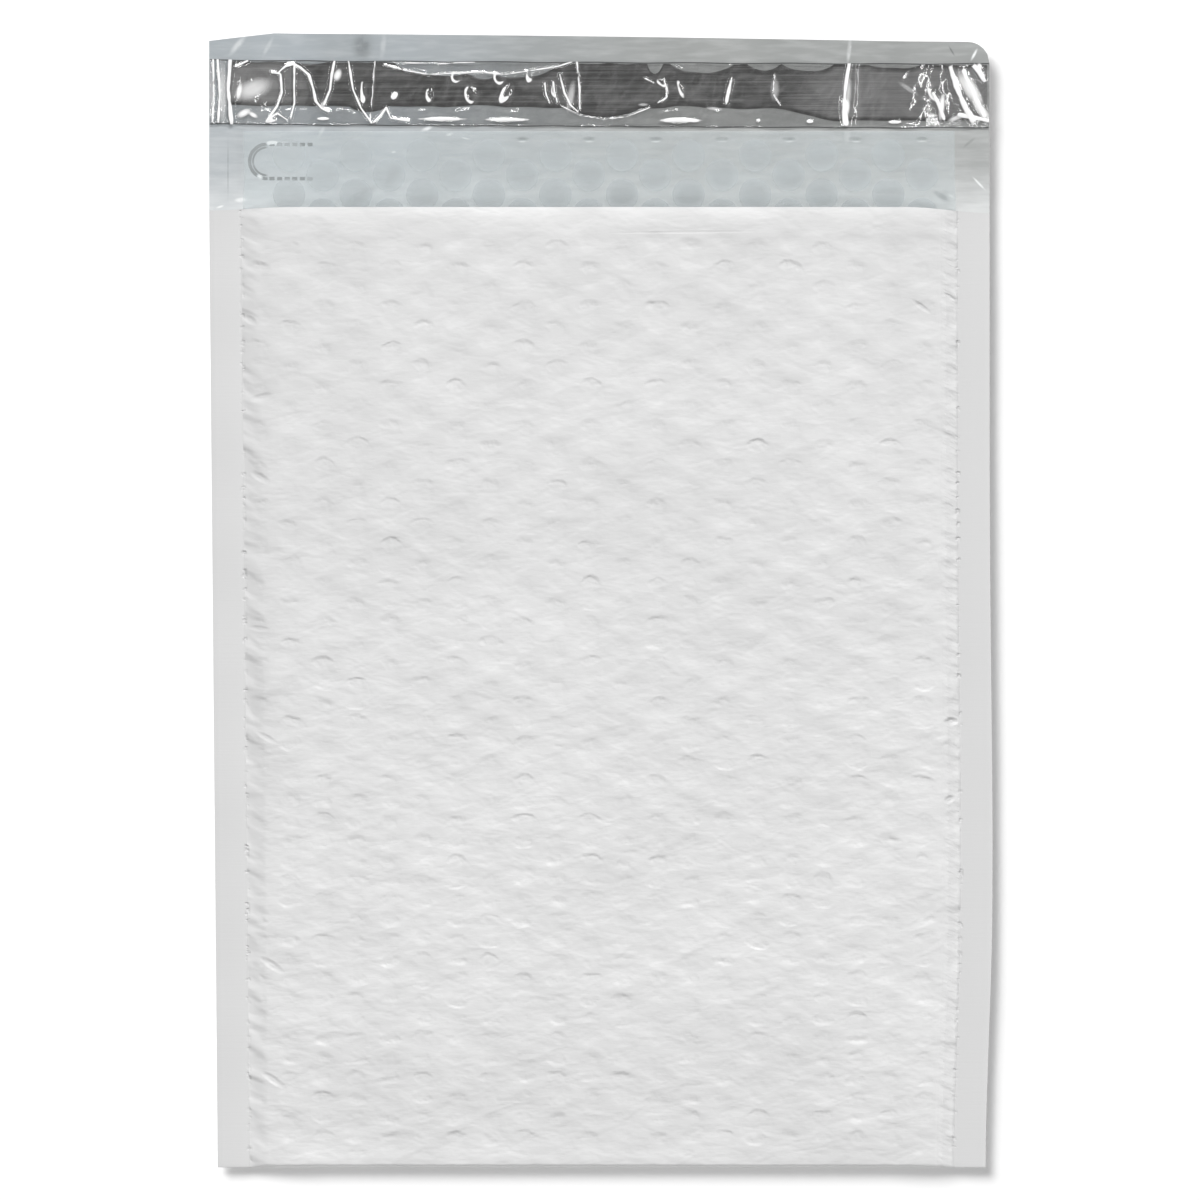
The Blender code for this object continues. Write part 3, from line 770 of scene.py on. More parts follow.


# Painted highlight and sheen where the liner stands off, as for STREAKS.
LINER_SHEEN_PATCHES = (
    (-105.4, 155.2, 22.0, 7.0, 3.6, 0.50), (-108.2, 147.9, 28.0, 2.8, 1.3, 0.95),
    (-105.4, 147.4, -30.0, 1.9, 0.9, 0.90), (-109.6, 154.6, 80.0, 3.4, 1.0, 0.80),
    (-118.0, 154.2, 90.0, 12.0, 1.6, 0.20), (-114.6, 154.2, 90.0, 12.0, 1.8, 0.34),
    (-79.8, 159.6, 70.0, 2.4, 1.4, 0.90), (-84.2, 150.6, 60.0, 2.4, 1.1, 0.45),
    (75.0, 154.6, 88.0, 6.4, 1.7, 0.40), (74.7, 149.4, 84.0, 3.4, 1.3, 1.00),
    (13.0, 150.6, 0.0, 2.0, 0.6, 0.30), (93.6, 155.4, -34.0, 4.6, 1.0, 0.22),
    (112.2, 155.2, -58.0, 7.8, 2.5, 1.00), (115.6, 148.6, -50.0, 4.6, 1.7, 0.90),
    (103.6, 149.8, 84.0, 5.4, 1.1, 0.95), (108.0, 146.4, 20.0, 3.4, 1.0, 0.60),
    (39.0, 154.6, 76.0, 2.8, 0.8, 0.80), (53.0, 155.2, 88.0, 4.2, 1.7, 0.22),
    (34.6, 149.4, -6.0, 3.0, 0.7, 0.34), (-9.0, 153.0, 80.0, 6.0, 1.4, 0.34),
)


def liner_film(colours):
    """Siliconised release film, clear: very glossy, with painted highlights along its creases."""
    made, tree, place = new_material("clear siliconised release film")
    pull = add(tree, "Mapping", {"Vector": place, "Scale": (30.0, 620.0, 1.0)})
    pull = add(tree, "TexNoise", {"Vector": pull, "Scale": 1.0, "Detail": 2.0})
    crumple = add(tree, "TexNoise", {"Vector": place, "Scale": 230.0, "Detail": 3.0,
                                               "Distortion": 0.6})
    height = add(tree, "Math", {0: pull, 1: 0.35, 2: crumple}, operation="MULTIPLY_ADD")
    normal = add(tree, "Bump", {"Height": height, "Distance": 0.00010, "Strength": 1.0})
    body = add(tree, "BsdfDiffuse", {"Color": linear(colours.liner_haze)})
    clear = see_through(tree, body, 0.10, 0.02, normal, 0.08, 1.0, colours.liner_tint)
    # Painted highlights: white along the creases, on the rims of trapped air and in patches.
    crease = add(tree, "Attribute", out="Fac", attribute_name="crease")
    broken = add(tree, "TexNoise", {"Vector": place, "Scale": 240.0, "Detail": 2.0})
    broken = add(tree, "MapRange", {"Value": broken, "From Min": 0.30, "From Max": 0.70,
                                              "To Min": -0.20, "To Max": 0.20})
    line = add(tree, "Math", {0: crease, 1: broken}, operation="ADD")
    line = add(tree, "MapRange", {"Value": line, "From Min": 0.36, "From Max": 0.66}, **EASED)
    # Painted shade: the film darkens within half a millimetre of its edges.
    edge = add(tree, "Attribute", out="Fac", attribute_name="edge_mm")
    edge = add(tree, "MapRange", {"Value": edge, "From Min": 0.42, "From Max": 0.20,
                                            "To Max": 0.80}, **EASED)
    edge_shade = add(tree, "BsdfDiffuse", {"Color": linear(colours.liner_edge_shade)})
    clear = add(tree, "MixShader", {0: edge, 1: clear, 2: edge_shade})
    white = add(tree, "BsdfDiffuse", {"Color": linear(colours.liner_highlight)})
    painted_sheen = streak_mask(tree, place, LINER_SHEEN_PATCHES)
    line = add(tree, "Math", {0: painted_sheen, 1: line}, operation="MAXIMUM", use_clamp=True)
    close_material(tree, add(tree, "MixShader", {0: line, 1: clear, 2: white}))
    return made


def floor_paper(colours):
    """Matt white backdrop paper, evenly lit, with the faintest tooth."""
    made, tree, place = new_material("matt backdrop paper")
    tooth = add(tree, "TexNoise", {"Vector": place, "Scale": 500.0, "Detail": 2.0})
    normal = add(tree, "Bump", {"Height": tooth, "Distance": 0.00002, "Strength": 1.0})
    surface = add(tree, "BsdfPrincipled",
                  {"Base Color": linear(colours.floor), "Roughness": 0.9, "Normal": normal,
                   "Specular IOR Level": 0.0, "Emission Color": (1.0, 1.0, 1.0, 1.0),
                   "Emission Strength": 0.15})
    close_material(tree, surface)
    return made


# ---------------------------------------------------------------- settings

class EnvelopeSizes(bpy.types.PropertyGroup):
    """Sizes of the envelope's pieces."""

    film: FloatProperty(name="Film", description="Thickness of the outer film",
                        default=0.00009, unit="LENGTH", precision=5)
    lining: FloatProperty(name="Lining", description="Height of one layer of bubbles",
                          default=0.0029, unit="LENGTH", precision=4)
    pocket: FloatProperty(name="Pocket", description="How far the empty pocket stands open",
                          default=0.0034, unit="LENGTH", precision=4)
    shoulder: FloatProperty(name="Shoulder", description="From the seal to the full lining",
                            default=0.0200, unit="LENGTH", precision=4)
    seal_thick: FloatProperty(name="Seal", description="Thickness of the melted side seal",
                              default=0.00032, unit="LENGTH", precision=5)
    bubble_relief: FloatProperty(name="Bubble relief", description="Depth of the film over a bubble",
                                 default=0.00022, unit="LENGTH", precision=5)
    lip_drop: FloatProperty(name="Lip drop", description="How far the mouth's lip sinks",
                            default=0.0010, unit="LENGTH", precision=4)
    right_lift: FloatProperty(name="Right lift", description="The right seal's height",
                              default=0.0050, unit="LENGTH", precision=4)
    left_lift: FloatProperty(name="Left lift", description="The left seal's height",
                             default=0.0040, unit="LENGTH", precision=4)


class EnvelopeColours(bpy.types.PropertyGroup):
    """Colours of the envelope's films, as sRGB hex."""

    white_film: StringProperty(name="White film", description="Outside", default="#DEDEDE")
    white_film_tone_and_shade: StringProperty(name="White film, tone and shade", description="Outside, darker at random and in painted shade",
                                    default="#D4D4D4")
    seal: StringProperty(name="Seal", description="Melted side strip", default="#D4D4D4")
    grey_film: StringProperty(name="Grey film", description="Inside", default="#A3A5A4")
    grey_film_cool: StringProperty(name="Grey film, cool", description="Inside, left part",
                                   default="#ABB2B7")
    grey_film_dark: StringProperty(name="Grey film, dark", description="Inside, tone bands",
                                   default="#8F9291")
    grey_film_shade: StringProperty(name="Grey film, shade", description="Painted shade in creases, and dark mark lines",
                                   default="#5A5E5E")
    pale_and_highlight: StringProperty(name="Pale and highlight", description="Paler film, painted light and painted highlights", default="#F4F6F6")
    lining_haze: StringProperty(name="Lining haze", description="Milkiness of the bubble film",
                                default="#E8F0F2")
    adhesive: StringProperty(name="Adhesive", description="Where it shows lighter",
                             default="#848484")
    adhesive_dark: StringProperty(name="Adhesive, dark", description="Where it wets the liner",
                                  default="#242424")
    liner_haze: StringProperty(name="Liner haze", description="Milkiness of the release film",
                               default="#E6E6E4")
    liner_highlight: StringProperty(name="Liner highlight", description="Painted highlights on the liner's folds",
                                 default="#FCFCFC")
    liner_edge_shade: StringProperty(name="Liner edge shade", description="Painted shade along the liner's edges",
                               default="#5C5E5E")
    liner_tint: StringProperty(name="Liner tint", description="What one skin of the film lets by",
                               default="#F6F6F6")
    floor: StringProperty(name="Floor", description="Backdrop paper", default="#F9F9F9")


class EnvelopeStage(bpy.types.PropertyGroup):
    """Lamps and camera."""

    paper: FloatProperty(name="Paper lamp", description="Power of the lamp on the backdrop",
                         default=345.0, subtype="POWER")
    key: FloatProperty(name="Key", description="Power of the softbox beyond the flap",
                       default=1900.0, subtype="POWER")
    strip: FloatProperty(name="Strips", description="Power of each strip lamp",
                         default=9.8, subtype="POWER")
    sky: FloatProperty(name="Sky", description="Strength of the even light from all round",
                       default=0.31)
    reach: FloatProperty(name="Reach", description="Camera height", default=4.0, unit="LENGTH")
    field: FloatProperty(name="Field", description="Width of the view at the envelope",
                         default=0.3642, unit="LENGTH")


# ---------------------------------------------------------------- pieces

class ENVELOPE_OT_outer_film(bpy.types.Operator):
    """Make the folded and side-sealed outer film with its flap"""

    bl_idname = "envelope.outer_film"
    bl_label = "Outer film"

    def execute(self, context):
        sizes = context.scene.envelope_sizes
        x, y, front_rows = web_grid()
        rows, columns = x.shape
        back = np.where(np.arange(rows)[:, None] < front_rows, back_level(x, y, sizes),
                        flap_level(x, y, sizes))
        under = np.stack([x, y, back], -1)
        fx, fy = x[:front_rows], y[:front_rows]
        over = np.stack([fx, fy, front_level(fx, fy, sizes)], -1)
        number_back = np.arange(rows * columns).reshape(rows, columns)
        number_front = number_back[:front_rows].copy()
        inner = number_front[1:, 1:-1]
        number_front[1:, 1:-1] = rows * columns + np.arange(inner.size).reshape(inner.shape)
        points = np.concatenate([under.reshape(-1, 3), over[1:, 1:-1].reshape(-1, 3)])
        rim = under[:front_rows]
        for edge in (np.s_[:, 0], np.s_[:, -1], np.s_[0, :]):
            middle = 0.5 * (rim[edge][..., 2] + over[edge][..., 2])
            points[number_back[:front_rows][edge], 2] = middle
        faces = np.concatenate([grid_faces(number_back, flip=True), grid_faces(number_front)])
        colours = context.scene.envelope_colours
        piece = new_piece("film_envelope", points, faces.tolist(),
                          [white_film(colours), grey_film(colours)])
        store(piece, "seal_mm", 1000.0 * seal_distance(points[:, 0], points[:, 1]))
        lip = mouth_edge(points[:, 0]) - points[:, 1]
        lined = smooth((lip - LINING_FRONT_INSET) / 0.003) * smooth((points[:, 1] + HALF_LENGTH) / 0.01)
        store(piece, "lined", lined)
        give_thickness(piece, sizes.film, inner_offset=1)
        finish_piece(piece, "outer_film", 50.0)
        return {"FINISHED"}


def bubble_body(segments, rings):
    """One closed bubble, its mouth on the flat film: unit radius and unit height."""
    points = []
    for radius, height in rings:
        for k in range(segments):
            turn = 2.0 * math.pi * k / segments
            points.append((radius * math.cos(turn), radius * math.sin(turn), height))
    points += [(0.0, 0.0, 0.0), (0.0, 0.0, 1.0)]
    base, tip = len(points) - 2, len(points) - 1
    faces = []
    for k in range(segments):
        after = (k + 1) % segments
        faces.append((base, after, k))
        for ring in range(len(rings) - 1):
            low, high = ring * segments, (ring + 1) * segments
            faces.append((low + k, low + after, high + after, high + k))
        top = (len(rings) - 1) * segments
        faces.append((top + k, top + after, tip))
    return np.array(points), faces


def bubble_centres(phase, low_y, high_y):
    found = []
    for half in (0.0, 0.5):
        for i in range(-8, 9):
            for j in range(-30, 8):
                x = phase[0] + (i + half) * COLUMN_PITCH
                y = phase[1] + (j + half) * ROW_PITCH
                if low_y <= y <= high_y and seal_distance(x, y) > 0.0045:
                    found.append((x, y))
    return found


def lining_height(x, y, sizes):
    """Height of the bubbles: full in the body, crushed at the seals, going flat at the cut end."""
    part = clamp(seal_distance(x, y) / sizes.shoulder)
    flat = 1.0 - 0.90 * smooth((y - 0.1080) / 0.012)
    return sizes.lining * (0.10 + 0.88 * (1.0 - (1.0 - part) ** SHOULDER_POWER)) * flat


def back_web(x, y, sizes):
    """Top of the lining's back leg."""
    base = np.where(y > MOUTH_Y, flap_level(x, y, sizes), underside(x, y, sizes))
    high = base + sizes.film + WEB_BACK_GAP + lining_height(x, y, sizes)
    return high + 0.00006 * smooth((y - 0.115) / 0.01) * (1.0 + slow_waves(x, y, 0.030, 31))


def front_web(x, y, sizes):
    """Underside of the lining's front leg."""
    relief = film_relief(x, y, sizes)
    roof = front_level(x, y, sizes) - np.maximum(relief, 0.0)
    return roof - sizes.film - WEB_FRONT_GAP - lining_height(x, y, sizes)


class ENVELOPE_OT_bubble_lining(bpy.types.Operator):
    """Make the folded bubble web inside the outer film"""

    bl_idname = "envelope.bubble_lining"
    bl_label = "Bubble lining"

    def execute(self, context):
        sizes = context.scene.envelope_sizes
        fine = np.linspace(LINING_BACK_END, LINING_FINE_FROM, LINING_FINE_ROWS)
        coarse = np.linspace(LINING_FINE_FROM, -HALF_LENGTH + 0.0075, LINING_COARSE_ROWS)[1:]
        front_end = MOUTH_Y - LINING_FRONT_INSET
        path_y = np.concatenate([fine, coarse])
        return_y = np.concatenate([coarse[::-1], fine[fine < front_end][::-1], [front_end]])
        offsets = SEAL_WIDTH + np.array([0.0004, 0.0012, 0.0022, 0.0034, 0.0050, 0.0070, 0.0095])
        rows_x, rows_y, rows_z = [], [], []
        for leg, ys in (("back", path_y), ("front", return_y)):
            for y in ys:
                start, end = left_edge(y), right_edge(y)
                inner = np.linspace(start + offsets[-1], end - offsets[-1], LINING_COLUMNS)[1:-1]
                x = np.concatenate([start + offsets, inner, (end - offsets)[::-1]])
                line = np.full_like(x, y)
                low, high = back_web(x, line, sizes), front_web(x, line, sizes)
                middle = 0.5 * (low + high)
                if leg == "back":
                    z = np.minimum(low, middle - 0.0001)
                else:
                    z = np.maximum(high, middle + 0.0001)
                rows_x.append(x)
                rows_y.append(line)
                rows_z.append(z)
        x, y, z = (np.array(part) for part in (rows_x, rows_y, rows_z))
        colours = context.scene.envelope_colours
        piece = new_sheet("bubble_web", x, y, z, bubble_film(colours))
        give_thickness(piece, WEB_THICK, offset=1.0)
        pods = self.bubbles(sizes, colours)
        piece.select_set(True)
        bpy.context.view_layer.objects.active = piece
        pods.select_set(True)
        bpy.ops.object.join()
        finish_piece(piece, "bubble_lining", 60.0)
        return {"FINISHED"}

    def bubbles(self, sizes, colours):
        """Every bubble of both legs, finer where the mouth shows them."""
        round_one = bubble_body(18, ((1.0, 0.0), (0.985, 0.30), (0.93, 0.66), (0.80, 0.93),
                                     (0.62, 1.0)))
        plain_one = bubble_body(8, ((1.0, 0.0), (0.92, 0.70), (0.66, 1.0)))
        points, faces, start = [], [], 0
        legs = ((BACK_PHASE, LINING_BACK_END - 0.003, -1.0),
                (FRONT_PHASE, MOUTH_Y - LINING_FRONT_INSET - 0.003, 1.0))
        for phase, end, way in legs:
            for x, y in bubble_centres(phase, -HALF_LENGTH + 0.012, end):
                shape, cut = round_one if y > 0.100 else plain_one
                spot = shape.copy()
                px, py = x + BUBBLE_RADIUS * spot[:, 0], y + BUBBLE_RADIUS * spot[:, 1]
                web = back_web(px, py, sizes) if way < 0.0 else front_web(px, py, sizes)
                high = lining_height(px, py, sizes)
                z = web + way * (spot[:, 2] * high * 0.97 + 0.00001)
                points.append(np.stack([px, py, z], -1))
                for face in cut:
                    ring = face if way > 0.0 else face[::-1]
                    faces.append([start + k for k in ring])
                start += len(spot)
        return new_piece("bubbles", np.concatenate(points), faces, [bubble_film(colours)])


# Bays in the adhesive's upper edge, where the liner has let go: middle, half width, depth, in mm.
BAYS = ((-47.0, 15.5, 3.9), (-26.0, 14.0, 4.4), (16.7, 2.4, 3.0), (31.0, 9.5, 2.7),
        (49.7, 5.0, 1.7), (63.2, 7.8, 1.9), (89.6, 8.0, 0.9), (-88.0, 6.0, 0.5))
# The same along its lower edge; a negative depth is a tongue.
SAGS = ((1.0, 11.0, -3.2), (-70.0, 6.0, -1.6), (26.0, 6.0, 0.6), (-38.0, 9.0, 0.5))


def adhesive_edges(x):
    """Lower and upper edge of the adhesive."""
    slope = LINER_DROP * clamp((x - LEFT_TOP_X) / (RIGHT_X - LEFT_TOP_X))
    high = ADHESIVE_HIGH + 0.0018 + 0.00018 * np.sin(x / 0.0017) * np.sin(x / 0.0071 + 1.0)
    low = ADHESIVE_LOW + 0.0018 - 0.0036 * smooth((x - 0.052) / 0.020)
    low = low + 0.00022 * np.sin(x / 0.0031) * np.sin(x / 0.0093)
    for bays, way in ((BAYS, -1.0), (SAGS, 1.0)):
        for middle, half, depth in bays:
            part = clamp(1.0 - ((1000.0 * x - middle) / half) ** 2) ** 0.8
            if way < 0.0:
                high = high - 0.001 * depth * part
            else:
                low = low + 0.001 * depth * part
    return low - slope, high - slope


def adhesive_top(x, y, sizes):
    return flap_level(x, y, sizes) + sizes.film + ADHESIVE_RISE


class ENVELOPE_OT_adhesive_strip(bpy.types.Operator):
    """Make the ribbed band of adhesive on the flap"""

    bl_idname = "envelope.adhesive_strip"
    bl_label = "Adhesive strip"

    def execute(self, context):
        sizes = context.scene.envelope_sizes
        columns = np.linspace(left_edge(ADHESIVE_LOW) + 0.0064, right_edge(ADHESIVE_LOW) - 0.0008,
                              ADHESIVE_COLUMNS)
        share = np.linspace(0.0, 1.0, ADHESIVE_ROWS)
        low, high = adhesive_edges(columns)
        x = np.repeat(columns[None], len(share), 0)
        y = low[None] + (high - low)[None] * share[:, None]
        ribs = 0.00002 * np.sin(y / 0.00016)
        rim = np.minimum(share, 1.0 - share)[:, None]
        z = adhesive_top(x, y, sizes) - 0.00014 * (1.0 - smooth(rim / 0.06)) + ribs
        piece = new_sheet("adhesive_band", x, y, z, hot_melt(context.scene.envelope_colours))
        store(piece, "rim_mm", 1000.0 * rim * (high - low)[None])
        give_thickness(piece, ADHESIVE_THICK)
        finish_piece(piece, "adhesive_strip", 50.0)
        return {"FINISHED"}


# Creases of the liner, each with a painted highlight: points from the envelope's middle, height and
# half width, all in mm.
CREASES = (
    (((-117.4, 164.0), (-117.2, 154.0), (-117.6, 145.0)), 0.20, 0.22),
    (((-116.0, 164.0), (-115.4, 154.0), (-115.8, 145.0)), 0.30, 0.28),
    (((-112.2, 164.0), (-112.8, 155.0), (-111.8, 144.5)), 0.55, 0.42),
    (((-110.6, 162.0), (-107.0, 163.6)), 0.30, 0.30),
    (((-99.8, 160.2), (-97.0, 159.8), (-96.6, 154.0), (-98.0, 150.0), (-101.0, 145.6)), 0.36, 0.26),
    (((-97.4, 160.4), (-95.6, 162.0), (-93.2, 162.9), (-90.8, 161.6), (-88.4, 159.4),
      (-87.0, 155.0), (-86.4, 151.6), (-84.6, 149.4), (-82.4, 148.4)), 0.42, 0.30),
    (((-92.8, 162.2), (-92.9, 156.0), (-92.8, 151.0), (-94.0, 146.0)), 0.26, 0.20),
    (((-101.0, 145.6), (-98.0, 147.8), (-95.0, 145.8)), 0.24, 0.20),
    (((-80.6, 164.0), (-81.4, 160.0), (-82.0, 155.0), (-83.8, 150.6)), 0.42, 0.32),
    (((-76.4, 163.8), (-75.8, 160.0), (-75.0, 155.0), (-72.6, 149.4), (-69.4, 145.0)), 0.42, 0.26),
    (((-68.4, 163.6), (-69.0, 155.0), (-69.8, 146.0)), 0.16, 0.14),
    (((-68.6, 145.2), (-66.6, 147.2), (-64.9, 149.6), (-63.6, 146.4), (-58.0, 145.6)), 0.34, 0.26),
    (((-65.6, 162.6), (-60.0, 161.0), (-52.0, 159.6), (-44.0, 160.0), (-36.0, 160.4), (-29.0, 159.6),
      (-21.0, 160.8), (-13.0, 162.0), (-8.6, 163.4)), 0.34, 0.17),
    (((-63.0, 163.4), (-50.0, 162.8), (-38.0, 163.4)), 0.20, 0.13),
    (((-16.8, 157.0), (-16.4, 153.6), (-15.2, 151.0)), 0.30, 0.22),
    (((-14.2, 157.4), (-13.8, 154.0), (-13.0, 151.2)), 0.34, 0.22),
    (((-12.2, 159.6), (-10.8, 154.0), (-9.0, 150.4), (-6.6, 148.2)), 0.36, 0.24),
    (((-7.0, 163.4), (-6.2, 155.0), (-6.2, 149.0)), 0.24, 0.18),
    (((-12.0, 150.2), (-6.0, 147.2), (1.0, 146.0), (8.0, 146.8), (15.2, 149.6)), 0.24, 0.13),
    (((13.8, 158.4), (16.4, 157.0)), 0.26, 0.16),
    (((19.4, 158.0), (20.4, 155.0), (20.2, 152.6), (17.6, 151.0)), 0.24, 0.16),
    (((39.8, 157.6), (39.0, 154.4), (38.4, 151.4)), 0.42, 0.38),
    (((53.2, 160.0), (52.6, 156.0), (53.0, 153.0), (55.0, 150.0)), 0.20, 0.12),
    (((75.8, 163.4), (74.9, 158.0), (74.4, 154.0), (74.2, 149.6)), 0.56, 0.40),
    (((74.2, 151.6), (74.3, 148.0), (74.8, 144.6)), 0.56, 0.66),
    (((101.2, 153.8), (103.0, 150.0), (104.4, 146.0)), 0.44, 0.44),
    (((106.4, 161.4), (108.0, 156.0), (110.6, 150.0), (113.0, 145.6)), 0.58, 0.66),
    (((110.4, 160.4), (113.0, 154.0), (116.6, 147.0)), 0.52, 0.60),
    (((113.6, 161.8), (116.6, 157.6)), 0.42, 0.44),
    (((109.0, 147.2), (113.0, 146.4), (117.8, 145.4)), 0.40, 0.44),
)
# Trapped air under the liner: middle x and y, half sizes, turn in degrees and height, in mm, and
# whether its painted highlight covers it all over (1) or lies along its rim (0).
AIR = (
    (-62.4, 153.2, 1.4, 2.0, -35.0, 0.34, 1), (-51.7, 153.8, 1.5, 3.2, 0.0, 0.42, 0),
    (-39.2, 153.6, 2.7, 3.9, 8.0, 0.52, 0), (-28.3, 154.2, 1.9, 4.2, -32.0, 0.50, 0),
    (-43.6, 158.9, 2.2, 2.4, 0.0, 0.30, 0), (-30.6, 158.6, 2.3, 2.6, 20.0, 0.30, 0),
    (-21.4, 159.4, 1.3, 2.4, 0.0, 0.26, 0),
    (-71.8, 154.8, 1.0, 4.2, 0.0, 0.24, 0), (24.6, 155.4, 1.0, 3.0, 20.0, 0.24, 0),
    (-47.7, 146.1, 10.5, 0.9, 0.0, 0.34, 1), (-28.4, 145.9, 9.0, 0.9, 0.0, 0.34, 1),
    (24.3, 145.7, 8.4, 1.1, 0.0, 0.38, 1), (48.1, 145.7, 1.1, 0.8, 0.0, 0.30, 1),
    (63.8, 145.4, 1.5, 0.8, 0.0, 0.32, 1), (89.7, 145.2, 3.2, 0.7, 0.0, 0.30, 1),
    (-84.0, 146.2, 3.0, 0.6, 0.0, 0.22, 1), (-99.0, 146.0, 2.0, 0.6, 20.0, 0.20, 0),
    (-13.9, 154.4, 1.2, 2.2, 12.0, 0.30, 0), (18.6, 157.2, 2.2, 1.0, -40.0, 0.24, 0),
    (100.8, 153.4, 0.9, 2.4, 30.0, 0.30, 0), (116.0, 160.6, 1.2, 2.6, 25.0, 0.30, 0),
)


def creases_and_highlights(x, y):
    """Height in metres of the creases and trapped air, and the painted highlight on creases and air
    rims.
    """
    high, white = np.zeros_like(x), np.zeros_like(x)
    mx, my = 1000.0 * x, 1000.0 * y
    for line, height, width in CREASES:
        far = np.full_like(x, 1000.0)
        for (ax, ay), (bx, by) in zip(line[:-1], line[1:]):
            dx, dy = bx - ax, by - ay
            part = clamp(((mx - ax) * dx + (my - ay) * dy) / (dx * dx + dy * dy))
            far = np.minimum(far, np.hypot(mx - ax - part * dx, my - ay - part * dy))
        high = np.maximum(high, 0.0010 * height * (1.0 - smooth(far / (3.6 * width))))
        white = np.maximum(white, 1.0 - far / (2.2 * width))
    for ax, ay, rx, ry, turn, height, solid in AIR:
        c, s = math.cos(math.radians(turn)), math.sin(math.radians(turn))
        dx, dy = mx - ax, my - ay
        far = np.hypot((c * dx + s * dy) / rx, (c * dy - s * dx) / ry)
        high = np.maximum(high, 0.001 * height * (1.0 - smooth(far)))
        # A painted highlight on each rim, brighter on one side.
        lit = 0.56 + 0.44 * np.cos(np.arctan2(dy / ry, dx / rx) + 2.5)
        ring = clamp(1.0 - np.abs(far - 0.62) * min(rx, ry) / 0.80)
        white = np.maximum(white, ring * lit * (1 - solid) + 1.5 * clamp(1.0 - far) * solid)
    return high, clamp(white)


def liner_level(x, y, sizes):
    """Top of the liner over the floor."""
    along = clamp((x - LEFT_TOP_X) / (RIGHT_X - LEFT_TOP_X))
    low = LINER_LOW - LINER_DROP * along
    base = adhesive_top(x, y, sizes) + LINER_RISE
    edge_low, edge_high = adhesive_edges(x)
    free = smooth((edge_low - y) / 0.0020) + smooth((y - edge_high) / 0.0016)
    base = base + free * 0.00016 * (1.0 + slow_waves(x, y, 0.011, 41))
    ends = 0.30 + 0.70 * smooth((np.abs(x) - 0.100) / 0.014)
    folds = np.abs(slow_waves(x, y * 0.55, 0.0085, 47)) + 0.6 * np.abs(slow_waves(x, y, 0.0042, 53))
    base = base + 0.00022 * ends * folds
    base = base + creases_and_highlights(x, y)[0]
    base = base - 0.00022 * hill(y - low, 0.0005)
    return base + 0.00003 * slow_waves(x, y, 0.004, 43)


class ENVELOPE_OT_release_liner(bpy.types.Operator):
    """Make the crumpled clear release liner over the adhesive"""

    bl_idname = "envelope.release_liner"
    bl_label = "Release liner"

    def execute(self, context):
        sizes = context.scene.envelope_sizes
        columns = np.linspace(left_edge(LINER_LOW) + 0.0002, right_edge(LINER_LOW) - 0.0002,
                              LINER_COLUMNS)
        share = np.linspace(0.0, 1.0, LINER_ROWS)
        along = clamp((columns - LEFT_TOP_X) / (RIGHT_X - LEFT_TOP_X))
        low = LINER_LOW - LINER_DROP * along + 0.00008 * np.sin(columns / 0.0031)
        high = LINER_HIGH - LINER_DROP * along + 0.00010 * np.sin(columns / 0.0047 + 2.0)
        x = np.repeat(columns[None], len(share), 0)
        y = low[None] + (high - low)[None] * share[:, None]
        z = liner_level(x, y, sizes)
        piece = new_sheet("liner_tape", x, y, z, liner_film(context.scene.envelope_colours))
        # The painted highlight along the creases and the air's rims.
        store(piece, "crease", creases_and_highlights(x, y)[1])
        nearer = np.minimum(share, 1.0 - share)[:, None] * (high - low)[None]
        store(piece, "edge_mm", 1000.0 * nearer)
        give_thickness(piece, LINER_THICK)
        finish_piece(piece, "release_liner", 60.0)
        return {"FINISHED"}


# ---------------------------------------------------------------- stage

def lamp(name, power, size, azimuth, tilt, distance, length=None):
    """An area lamp aimed at the envelope; azimuth from +X towards +Y, tilt from straight up."""
    data = bpy.data.lights.new(name, "AREA")
    data.energy = power
    data.shape = "RECTANGLE"
    data.size = size
    data.size_y = length or size
    made = bpy.data.objects.new(name, data)
    bpy.context.scene.collection.objects.link(made)
    around, up = math.radians(azimuth), math.radians(tilt)
    made.location = (distance * math.sin(up) * math.cos(around),
                     distance * math.sin(up) * math.sin(around), distance * math.cos(up))
    made.rotation_euler = (0.0, up, around)
    return made


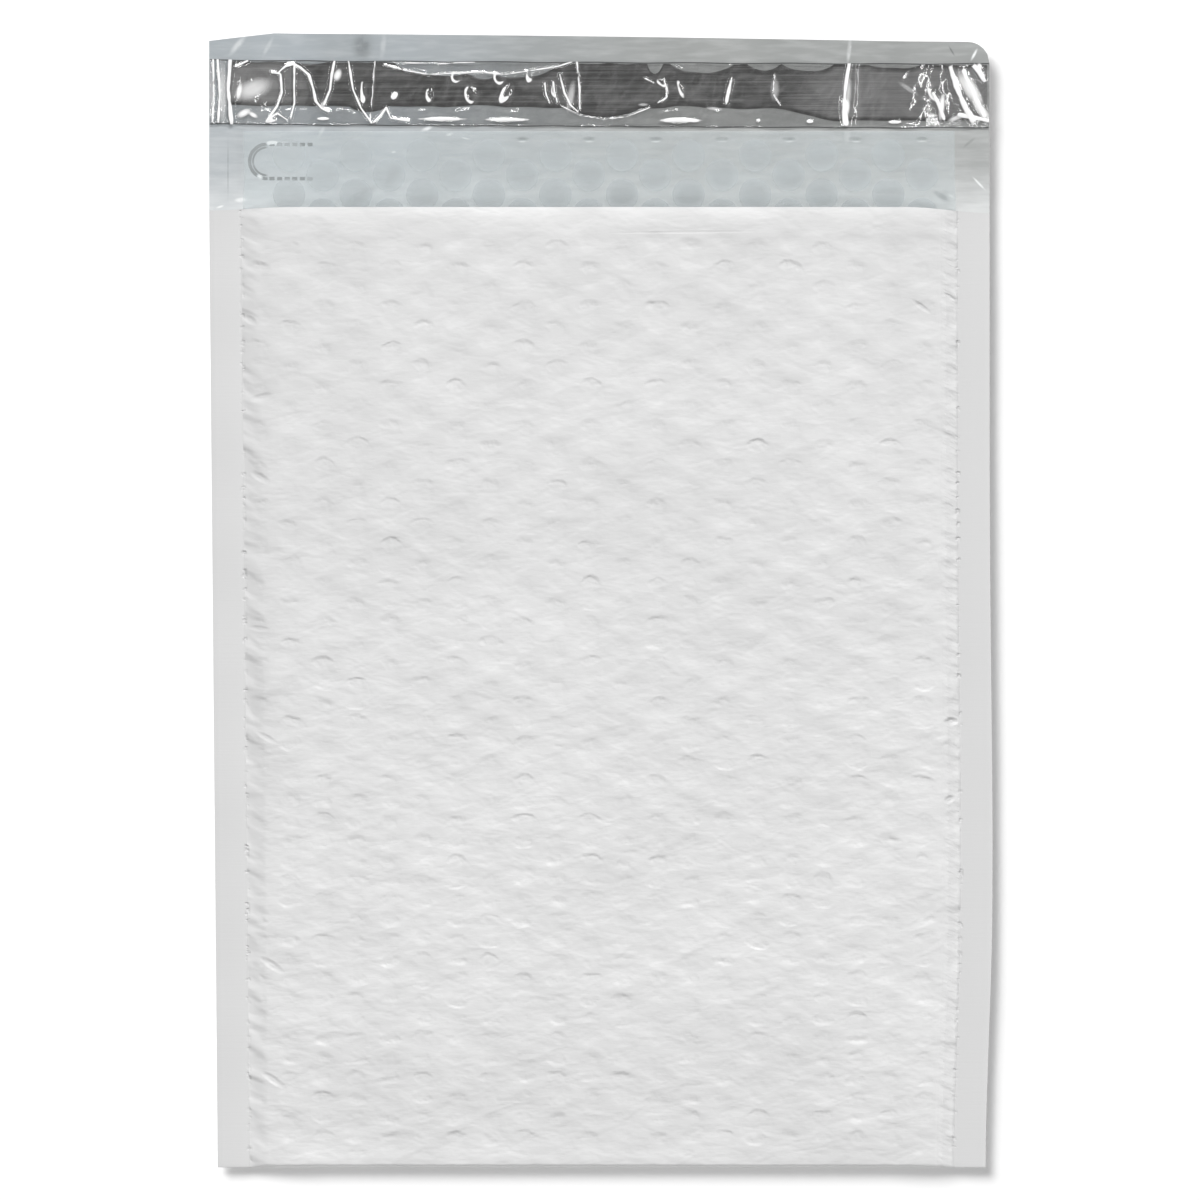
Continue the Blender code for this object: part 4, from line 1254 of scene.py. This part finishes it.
class ENVELOPE_OT_stage(bpy.types.Operator):
    """Make the floor, the soft lamps and the camera straight above"""

    bl_idname = "envelope.stage"
    bl_label = "Stage"

    def execute(self, context):
        scene = context.scene
        settings = scene.envelope_stage
        clear_selection()
        bpy.ops.mesh.primitive_plane_add(size=8.0, location=(0.0, 0.0, 0.0))
        floor = context.active_object
        floor.name = "floor"
        floor.data.materials.append(floor_paper(scene.envelope_colours))
        paper = bpy.data.collections.new("lit by the paper lamp")
        paper.objects.link(floor)
        goods = bpy.data.collections.new("lit by the softboxes")
        for piece in context.scene.collection.all_objects:
            if piece.type == "MESH" and piece is not floor:
                goods.objects.link(piece)
        backdrop = lamp("paper lamp", settings.paper, size=3.0, azimuth=127.0, tilt=41.5, distance=6.0)
        backdrop.light_linking.receiver_collection = paper
        softboxes = [lamp("key softbox", settings.key, size=4.8, azimuth=78.0, tilt=50.0,
                          distance=16.0)]
        for k in range(6):
            power = settings.strip * (1.0 + 0.10 * math.sin(math.radians(60.0 * k)))
            softboxes.append(lamp(f"ring strip {k}", power, size=0.10, azimuth=60.0 * k, tilt=30.0,
                                  distance=4.0, length=2.5))
        for made in softboxes:
            made.light_linking.receiver_collection = goods
        world = bpy.data.worlds.new("even studio light")
        world.use_nodes = True
        tree = world.node_tree
        way = add(tree, "TexCoord", out="Generated")
        panels = add(tree, "TexNoise", {"Vector": way, "Scale": 2.6, "Detail": 1.0})
        panels = add(tree, "MapRange", {"Value": panels, "From Min": 0.36,
                                                  "From Max": 0.64, "To Min": 0.35, "To Max": 1.65})
        sky = tree.nodes["Background"]
        tree.links.new(panels, sky.inputs["Color"])
        sky.inputs["Strength"].default_value = settings.sky
        scene.world = world
        scene.view_settings.view_transform = "Standard"
        data = bpy.data.cameras.new("camera")
        data.lens = SENSOR * settings.reach / settings.field
        data.clip_end = 20.0
        camera = bpy.data.objects.new("camera", data)
        scene.collection.objects.link(camera)
        camera.location = (SHIFT[0], SHIFT[1], settings.reach + VIEW_LEVEL)
        scene.camera = camera
        return {"FINISHED"}


class ENVELOPE_PT_panel(bpy.types.Panel):
    """The envelope's pieces and settings in the sidebar"""

    bl_label = "Padded Envelope"
    bl_idname = "ENVELOPE_PT_panel"
    bl_space_type = "VIEW_3D"
    bl_region_type = "UI"
    bl_category = "Envelope"

    def draw(self, context):
        layout = self.layout
        for operator in OPERATORS:
            layout.operator(operator.bl_idname)
        for group in ("envelope_sizes", "envelope_colours", "envelope_stage"):
            settings = getattr(context.scene, group)
            box = layout.box()
            for key in settings.__annotations__:
                box.prop(settings, key)


GROUPS = {"envelope_sizes": EnvelopeSizes, "envelope_colours": EnvelopeColours,
          "envelope_stage": EnvelopeStage}
OPERATORS = (ENVELOPE_OT_outer_film, ENVELOPE_OT_bubble_lining, ENVELOPE_OT_adhesive_strip,
             ENVELOPE_OT_release_liner, ENVELOPE_OT_stage)


def register():
    for name, group in GROUPS.items():
        bpy.utils.register_class(group)
        setattr(bpy.types.Scene, name, PointerProperty(type=group))
    for operator in OPERATORS:
        bpy.utils.register_class(operator)
    bpy.utils.register_class(ENVELOPE_PT_panel)


def unregister():
    bpy.utils.unregister_class(ENVELOPE_PT_panel)
    for operator in reversed(OPERATORS):
        bpy.utils.unregister_class(operator)
    for name, group in GROUPS.items():
        delattr(bpy.types.Scene, name)
        bpy.utils.unregister_class(group)


def main():
    register()
    bpy.ops.envelope.outer_film()
    bpy.ops.envelope.bubble_lining()
    bpy.ops.envelope.adhesive_strip()
    bpy.ops.envelope.release_liner()
    bpy.ops.envelope.stage()


if __name__ == "__main__":
    main()
